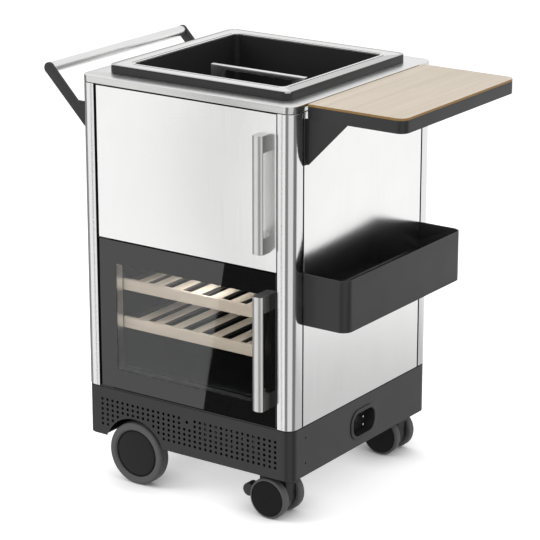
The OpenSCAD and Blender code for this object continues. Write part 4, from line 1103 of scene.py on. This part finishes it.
class CART_OT_board_and_tray(bpy.types.Operator):
    """Dresses the side board with its frame, and the bottle tray"""

    bl_idname = "cart.board_and_tray"
    bl_label = "Board and tray"

    def execute(self, context):
        dress(
            softened("board_frame", "board_folded_frame", sizes().sheet_edge),
            "board", "black_metal", black_coat(), "board_frame",
        )
        plank = softened("side_board", "board_plank", sizes().sheet_edge)
        dress(plank, "board", "board_wood", board_wood(), "side_board")
        repaint(plank, board_rim(), lambda centre, normal: normal.z < 0.5)
        dress(
            softened("bottle_tray", "tray_folded_sheet", sizes().sheet_edge),
            "tray", "black_metal", black_coat(), "bottle_tray",
        )
        return {"FINISHED"}


class CART_OT_push_handle(bpy.types.Operator):
    """Dresses the push handle's arms and tube"""

    bl_idname = "cart.push_handle"
    bl_label = "Push handle"

    def execute(self, context):
        dress(
            softened("push_arms", "push_handle_arms", sizes().panel_edge),
            "cart", "black_metal", black_coat(), "push_arms",
        )
        dress(
            softened("push_bar", "push_handle_tube", 0.0003, angle=60.0),
            "cart", "satin_steel", tube_steel(), "push_bar",
        )
        return {"FINISHED"}


class CART_OT_wheels(bpy.types.Operator):
    """Turns the tyres and hubs of the two large wheels"""

    bl_idname = "cart.wheels"
    bl_label = "Large wheels"

    def execute(self, context):
        for end, side in (("front", -1.0), ("back", 1.0)):
            self.wheel(end, side)
        return {"FINISHED"}

    def wheel(self, end, side):
        low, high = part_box(end + "_wheel_tyre")
        centre = (low + high) / 2.0
        radius = (high.z - low.z) / 2.0
        half = (high.y - low.y) / 2.0
        steps = sizes().wheel_steps
        tyre_depth = 0.0187
        shoulder = 0.0065
        inset = 0.004
        inner = radius - tyre_depth
        # From the hub outward to the middle of the tread, with one groove
        lower = [(inner, -half + inset), (inner + 0.003, -half + 0.0005),
                 (radius - shoulder, -half)]
        lower += tread_corner(radius, half, shoulder, 6)
        lower += [(radius, -half + shoulder), (radius, -0.0071), (radius - 0.0012, -0.0066),
                  (radius - 0.0012, -0.0054), (radius, -0.0049)]
        tyre = turned(end + "_tyre_turned", lower + mirrored(lower), steps, closed=True)
        smooth(lay_along_y(tyre, centre, side), 40.0)
        dress(tyre, end + "_wheel", "grey_rubber", tyre_rubber(), end + "_wheel_tyre")
        bore = 0.0063
        edge = inner - 0.0002
        face = half - inset
        hub_rings = [
            (bore, -face), (edge - 0.001, -face), (edge, -face + 0.001),
            (edge, face - 0.0028), (edge - 0.0016, face - 0.0028), (edge - 0.0022, face - 0.0022),
            (edge - 0.0026, face - 0.0014), (edge - 0.0040, face - 0.0006), (edge - 0.0090, face),
            (0.0400, face + 0.0009), (0.0260, face + 0.0014), (0.0120, face + 0.0017),
            (0.0040, face + 0.0018), (AXIS, face + 0.0018),
        ]
        hub = turned(end + "_hub_turned", hub_rings, steps)
        smooth(lay_along_y(hub, centre, side), 40.0)
        dress(hub, end + "_wheel", "black_plastic", wheel_cap(), end + "_wheel_hub")


class CART_OT_castors(bpy.types.Operator):
    """Turns the castor wheels and dresses the housings and pedals"""

    bl_idname = "cart.castors"
    bl_label = "Castors"

    def execute(self, context):
        for end, outside in (("front", -1.0), ("back", 1.0)):
            for place, side in (("outer", outside), ("inner", -outside)):
                self.wheel(end + "_castor_" + place, side)
            node = end + "_castor_housing"
            dress(
                softened(node, end + "_castor_dome", 2.0 * sizes().moulded_edge),
                end + "_castor", "black_plastic", castor_shell(), node,
            )
            node = end + "_castor_pedal"
            dress(
                softened(node, end + "_brake_pedal", sizes().moulded_edge),
                end + "_pedal", "black_plastic", black_plastic(), node,
            )
        return {"FINISHED"}

    def wheel(self, body, side):
        low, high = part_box(body + "_wheel")
        centre = (low + high) / 2.0
        radius = (high.z - low.z) / 2.0
        half = (high.y - low.y) / 2.0
        corner = 0.005
        bore = 0.0055
        lower = [(radius - corner, -half)] + tread_corner(radius, half, corner, 5)
        lower.append((radius, -half + corner))
        # From the tread inward: a groove round the cap, the cap's slope, a ring round its middle
        cap = [(radius - 0.0058, half - 0.0001), (radius - 0.0062, half - 0.0014),
               (radius - 0.0072, half - 0.0014), (radius - 0.0078, half - 0.0006),
               (radius - 0.0120, half - 0.0002), (0.0200, half - 0.0001), (0.0113, half - 0.0001),
               (0.0110, half - 0.0006), (0.0104, half - 0.0006), (0.0101, half - 0.0001),
               (AXIS, half - 0.0001)]
        rings = [(bore, -half)] + lower + mirrored(lower) + cap
        wheel = turned(body + "_wheel_turned", rings, sizes().wheel_steps)
        smooth(lay_along_y(wheel, centre, side), 40.0)
        dress(wheel, body, "grey_rubber", tyre_rubber(), body + "_wheel")
        self.face(wheel, centre, side, half, radius)

    def face(self, wheel, centre, side, half, radius):
        """Gives the disc inside the groove the dark plastic of its cap."""
        repaint(
            wheel, castor_cap(),
            lambda place, normal: (place.y - centre.y) * side > half - 0.004
            and math.hypot(place.x - centre.x, place.z - centre.z) < radius - 0.0059,
        )


class CART_PT_sidebar(bpy.types.Panel):
    """Lists the cart's sizes, colours and building steps"""

    bl_idname = "CART_PT_sidebar"
    bl_label = "Bar cart"
    bl_space_type = "VIEW_3D"
    bl_region_type = "UI"
    bl_category = "Bar cart"

    def draw(self, context):
        layout = self.layout
        for group in (context.scene.cart_sizes, context.scene.cart_colours):
            column = layout.column(align=True)
            for field in group.bl_rna.properties:
                if field.identifier not in ("rna_type", "name"):
                    column.prop(group, field.identifier)
        column = layout.column(align=True)
        for operator in OPERATORS:
            column.operator(operator.bl_idname)


GROUPS = (CartSizes, CartColours)
OPERATORS = (
    CART_OT_stage, CART_OT_case, CART_OT_inside, CART_OT_basin, CART_OT_doors, CART_OT_shelves,
    CART_OT_board_and_tray, CART_OT_push_handle, CART_OT_wheels, CART_OT_castors,
)


def register():
    for entry in GROUPS + OPERATORS + (CART_PT_sidebar,):
        bpy.utils.register_class(entry)
    bpy.types.Scene.cart_sizes = PointerProperty(type=CartSizes)
    bpy.types.Scene.cart_colours = PointerProperty(type=CartColours)


def unregister():
    del bpy.types.Scene.cart_colours
    del bpy.types.Scene.cart_sizes
    for entry in reversed(GROUPS + OPERATORS + (CART_PT_sidebar,)):
        bpy.utils.unregister_class(entry)


def main():
    register()
    for operator in OPERATORS:
        group, name = operator.bl_idname.split(".")
        getattr(getattr(bpy.ops, group), name)()


if __name__ == "__main__":
    main()
